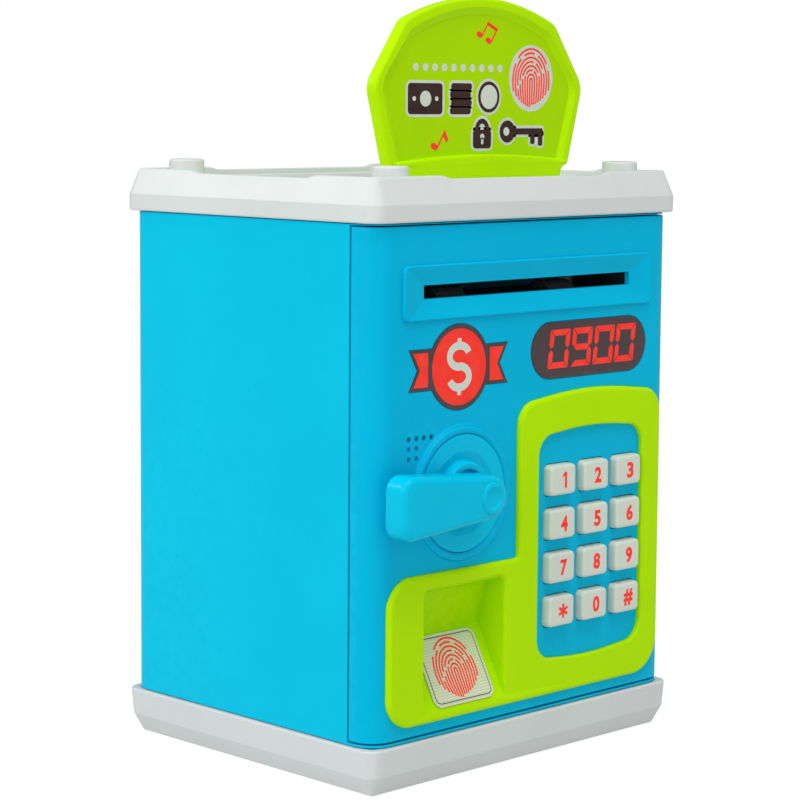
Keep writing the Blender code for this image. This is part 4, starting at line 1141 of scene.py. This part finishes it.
def makeScanner():
    p = padValues
    (topY, topZ), (footY, footZ) = bay["section"][2:]
    left, right, low = p["left"], p["right"], p["low"]
    high = math.hypot(topY - footY, topZ - footZ) - p["topGap"]

    def padLine(inset):
        return rectLine(left + inset, right - inset, low + inset, high - inset,
                        p["corner"] - inset, 8)

    pad = loft("scannerPad", padLine, plateRows(1.5, 0.3, 0.6, 0.12, 3), "ramp", "label_sage")
    finished(pad, "door", ["scanner_label"])
    for name, inset, level, finish in (("scannerLine", 1.0, 0.62, "label_dark"),
                                       ("scannerField", 1.3, 0.65, "label_sage")):
        finished(prism(name, padLine(inset), 0.55, level, "ramp", finish), "door")
    centre = ((left + right) / 2, (low + high) / 2)
    finished(whorl("scannerWhorl", centre, p["whorl"], 0.62, 0.70, "ramp"), "door")


makeDisplay()
makeBadge()
makeScanner()
print("stage: labels")


# Printed pictures on the sign: money, a padlock and key, music notes and a whorl.

iconValues = {"outline": 0.9, "pale": 0.06, "dark": 0.12, "coin": (4.0, 214.2),
              "bow": (13.0, 203.0), "whorlAt": (24.2, 220.6)}


def onSign(line, thick, finish, sunk=0.1):
    level = signValues["front"] + signValues["recess"]
    return prism("print", line, level + sunk, level - thick, "y", finish)


def iconPair(shapes):
    # Each shape is an outline; the pale one under it is the same outline grown.
    v = iconValues
    pale = [onSign(grown(line, v["outline"]), v["pale"], "print_pale") for line in shapes]
    dark = [onSign(line, v["dark"] + 0.01 * k, "print_brown") for k, line in enumerate(shapes)]
    return pale, dark


def noteShapes(x, z, size, tilt, pair=True):
    # Slanted oval heads, their stems, and a beam for a pair or a flag for one.
    turn = np.radians(np.linspace(0, 360, 25)[:-1])
    head = np.stack([0.30 * np.cos(turn) - 0.06 * np.sin(turn),
                     0.20 * np.sin(turn) + 0.08 * np.cos(turn)], -1)
    stem = np.array([(0.2, 0.0), (0.32, 0.0), (0.32, 1.15), (0.2, 1.15)])
    shapes = [head, stem]
    if pair:
        shapes += [head + (1.0, 0.18), stem + (1.0, 0.18),
                   np.array([(0.2, 1.0), (1.32, 1.18), (1.32, 1.42), (0.2, 1.24)])]
    else:
        shapes.append(np.array([(0.2, 1.0), (0.75, 0.78), (0.80, 1.02), (0.2, 1.35)]))
    angle = math.radians(tilt)
    spin = np.array([(math.cos(angle), math.sin(angle)), (-math.sin(angle), math.cos(angle))])
    return [np.array((x, z)) + shape @ spin * size for shape in shapes]


def makeSignPictures():
    v = iconValues
    coin, bow, eye = v["coin"], v["bow"], v["whorlAt"]
    # a banknote, a stack of coins and a big coin
    shapes = [rectLine(-33.0, -17.5, 208.6, 218.4, 1.2, 6)]
    shapes += [rectLine(x, x + 9.5, z, z + 2.1, 0.9, 6)
               for x, z in ((-14.0, 208.6), (-13.5, 211.2), (-14.0, 213.8), (-13.5, 216.4))]
    shapes.append(circleLine(*coin, 5.0, 64))
    # a padlock body and a key
    shapes += [rectLine(-3.2, 5.2, 197.6, 203.6, 1.2, 6), circleLine(*bow, 3.6, 48)]
    shapes += [rectLine(*sides, 0.4, 4) for sides in ((15.6, 30.0, 202.0, 204.0),
                                                      (24.2, 26.2, 198.9, 202.6),
                                                      (28.0, 30.0, 198.3, 202.6))]
    pale, dark = iconPair(shapes)
    shackle = arcPath((1.0, 203.2), (2.6, 3.2), 0, 180, 24)
    pale.append(onSign(ribbonLine(shackle, 3.4), v["pale"], "print_pale"))
    dark.append(onSign(ribbonLine(shackle, 1.6), 0.14, "print_brown"))
    pale += [onSign(circleLine(-29.5 + 4.3 * k, 223.4, 1.25, 24), 0.05, "print_pale")
             for k in range(10)]
    marks = [circleLine(-25.2, 213.5, 2.5, 40), rectLine(-31.0, -29.6, 212.8, 214.2, 0.5, 4),
             rectLine(-20.9, -19.5, 212.8, 214.2, 0.5, 4), circleLine(12.4, 203.0, 1.4, 32),
             circleLine(1.0, 201.4, 0.95, 24), rectLine(0.5, 1.5, 198.9, 201.2, 0.3, 4)]
    pale += [onSign(line, 0.24, "print_pale", 0) for line in marks]
    pale += [onSign(circleLine(*coin, radius, 64), thick, "print_pale", 0)
             for radius, thick in ((3.9, 0.20), (3.2, 0.24))]
    ground = circleLine(0, 0, 1, 72) * (10.6, 10.9) + (eye[0], eye[1] - 0.2)
    pale.append(onSign(ground, 0.05, "print_pale"))
    finished(joined("signPale", pale), "case")
    finished(joined("signDark", dark), "case")
    level = signValues["front"] + signValues["recess"]
    finished(whorl("signWhorl", eye, (8.9, 9.6), level, level - 0.11, "y"), "case")
    notes = noteShapes(-0.6, 234.2, 4.6, -34) + noteShapes(-21.0, 198.4, 5.2, -34, pair=False)
    notes = [onSign(line, 0.05 + 0.004 * k, "label_red") for k, line in enumerate(notes)]
    finished(joined("signNotes", notes), "case")


makeSignPictures()
print("stage: sign pictures")


# CAD nodes that stay are given finishes by the name of their own material.
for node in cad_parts.values():
    for materialSlot in node.material_slots:
        known = (materialSlot.material.name if materialSlot.material else "").split(".")[0]
        if known in finishes and not node.hide_render:
            materialSlot.material = finishes[known]
print("stage: inner parts")


# Stage: pale floor, soft light and the camera.

stageValues = {"world": 0.56, "gloss": 0.12, "floorGlow": 0.84, "floorBounce": 0.35,
               "floorSize": 6.0}
lights = {"leftBox": ((-1.5, -0.10, 0.75), 8.2, 1.2), "frontBox": ((-0.5, -1.6, 0.5), 1.4, 1.0),
          "topBox": ((-0.15, -0.55, 1.6), 9.5, 0.8), "rimBox": ((-0.95, 1.25, 0.95), 3.0, 0.4)}
view = {"place": (-0.58071, -0.58593, 0.21340), "azimuth": -44.681, "elevation": 5.875,
        "roll": 0.424, "lens": 110.74, "shiftUp": -0.06}


def makeFloor():
    size = stageValues["floorSize"] / 2
    mesh = bpy.data.meshes.new("floor")
    mesh.from_pydata([(-size, -size, -0.0002), (size, -size, -0.0002), (size, size, -0.0002),
                      (-size, size, -0.0002)], [], [(0, 1, 2, 3)])
    floor = bpy.data.objects.new("floor", mesh)
    bpy.context.scene.collection.objects.link(floor)
    material, tree, shader = principled("paleFloor")
    tone = spread(tree, noise(tree, place3(tree), 3.0), 0.3, 0.7, 0.0, 1.0)
    path = addNode(tree, "ShaderNodeLightPath")
    glow = spread(tree, path.outputs["Is Camera Ray"], 0.0, 1.0, stageValues["floorBounce"],
                  stageValues["floorGlow"])
    fillSockets(tree, shader, {
        "Base Color": mixColour(tree, tone, (0.30, 0.30, 0.30, 1), (0.32, 0.32, 0.32, 1)),
        "Roughness": 0.9, "Specular IOR Level": 0.1, "Emission Color": (1, 1, 1, 1),
        "Emission Strength": glow})
    mesh.materials.append(material)


def makeLights():
    world = bpy.data.worlds.new("studio")
    world.use_nodes = True
    bpy.context.scene.world = world
    tree = world.node_tree
    path = addNode(tree, "ShaderNodeLightPath")
    dimmed = spread(tree, path.outputs["Is Glossy Ray"], 0.0, 1.0, stageValues["world"],
                    stageValues["gloss"])
    strength = spread(tree, path.outputs["Is Camera Ray"], 0.0, 1.0, dimmed, 1.0)
    fillSockets(tree, tree.nodes["Background"], {"Color": (1, 1, 1, 1), "Strength": strength})
    for name, (place, power, size) in lights.items():
        lamp = bpy.data.lights.new(name, "AREA")
        lamp.energy = power
        lamp.size = size
        holder = bpy.data.objects.new(name, lamp)
        aim = Vector((0, 0, 0.1)) - Vector(place)
        turn = aim.to_track_quat("-Z", "Y").to_matrix().to_4x4()
        holder.matrix_world = Matrix.Translation(place) @ turn
        bpy.context.scene.collection.objects.link(holder)


def makeCamera():
    camera = bpy.data.cameras.new("camera")
    camera.lens = view["lens"]
    camera.sensor_width = 36.0
    camera.shift_y = view["shiftUp"]
    camera.clip_start = 0.01
    holder = bpy.data.objects.new("camera", camera)
    turn = (Matrix.Rotation(math.radians(view["azimuth"]), 4, "Z")
            @ Matrix.Rotation(math.radians(90 - view["elevation"]), 4, "X")
            @ Matrix.Rotation(math.radians(view["roll"]), 4, "Z"))
    holder.matrix_world = Matrix.Translation(view["place"]) @ turn
    bpy.context.scene.collection.objects.link(holder)
    bpy.context.scene.camera = holder


makeFloor()
makeLights()
makeCamera()
bpy.context.scene.view_settings.view_transform = "Standard"
print("stage: light and camera")

bpy.context.view_layer.update()
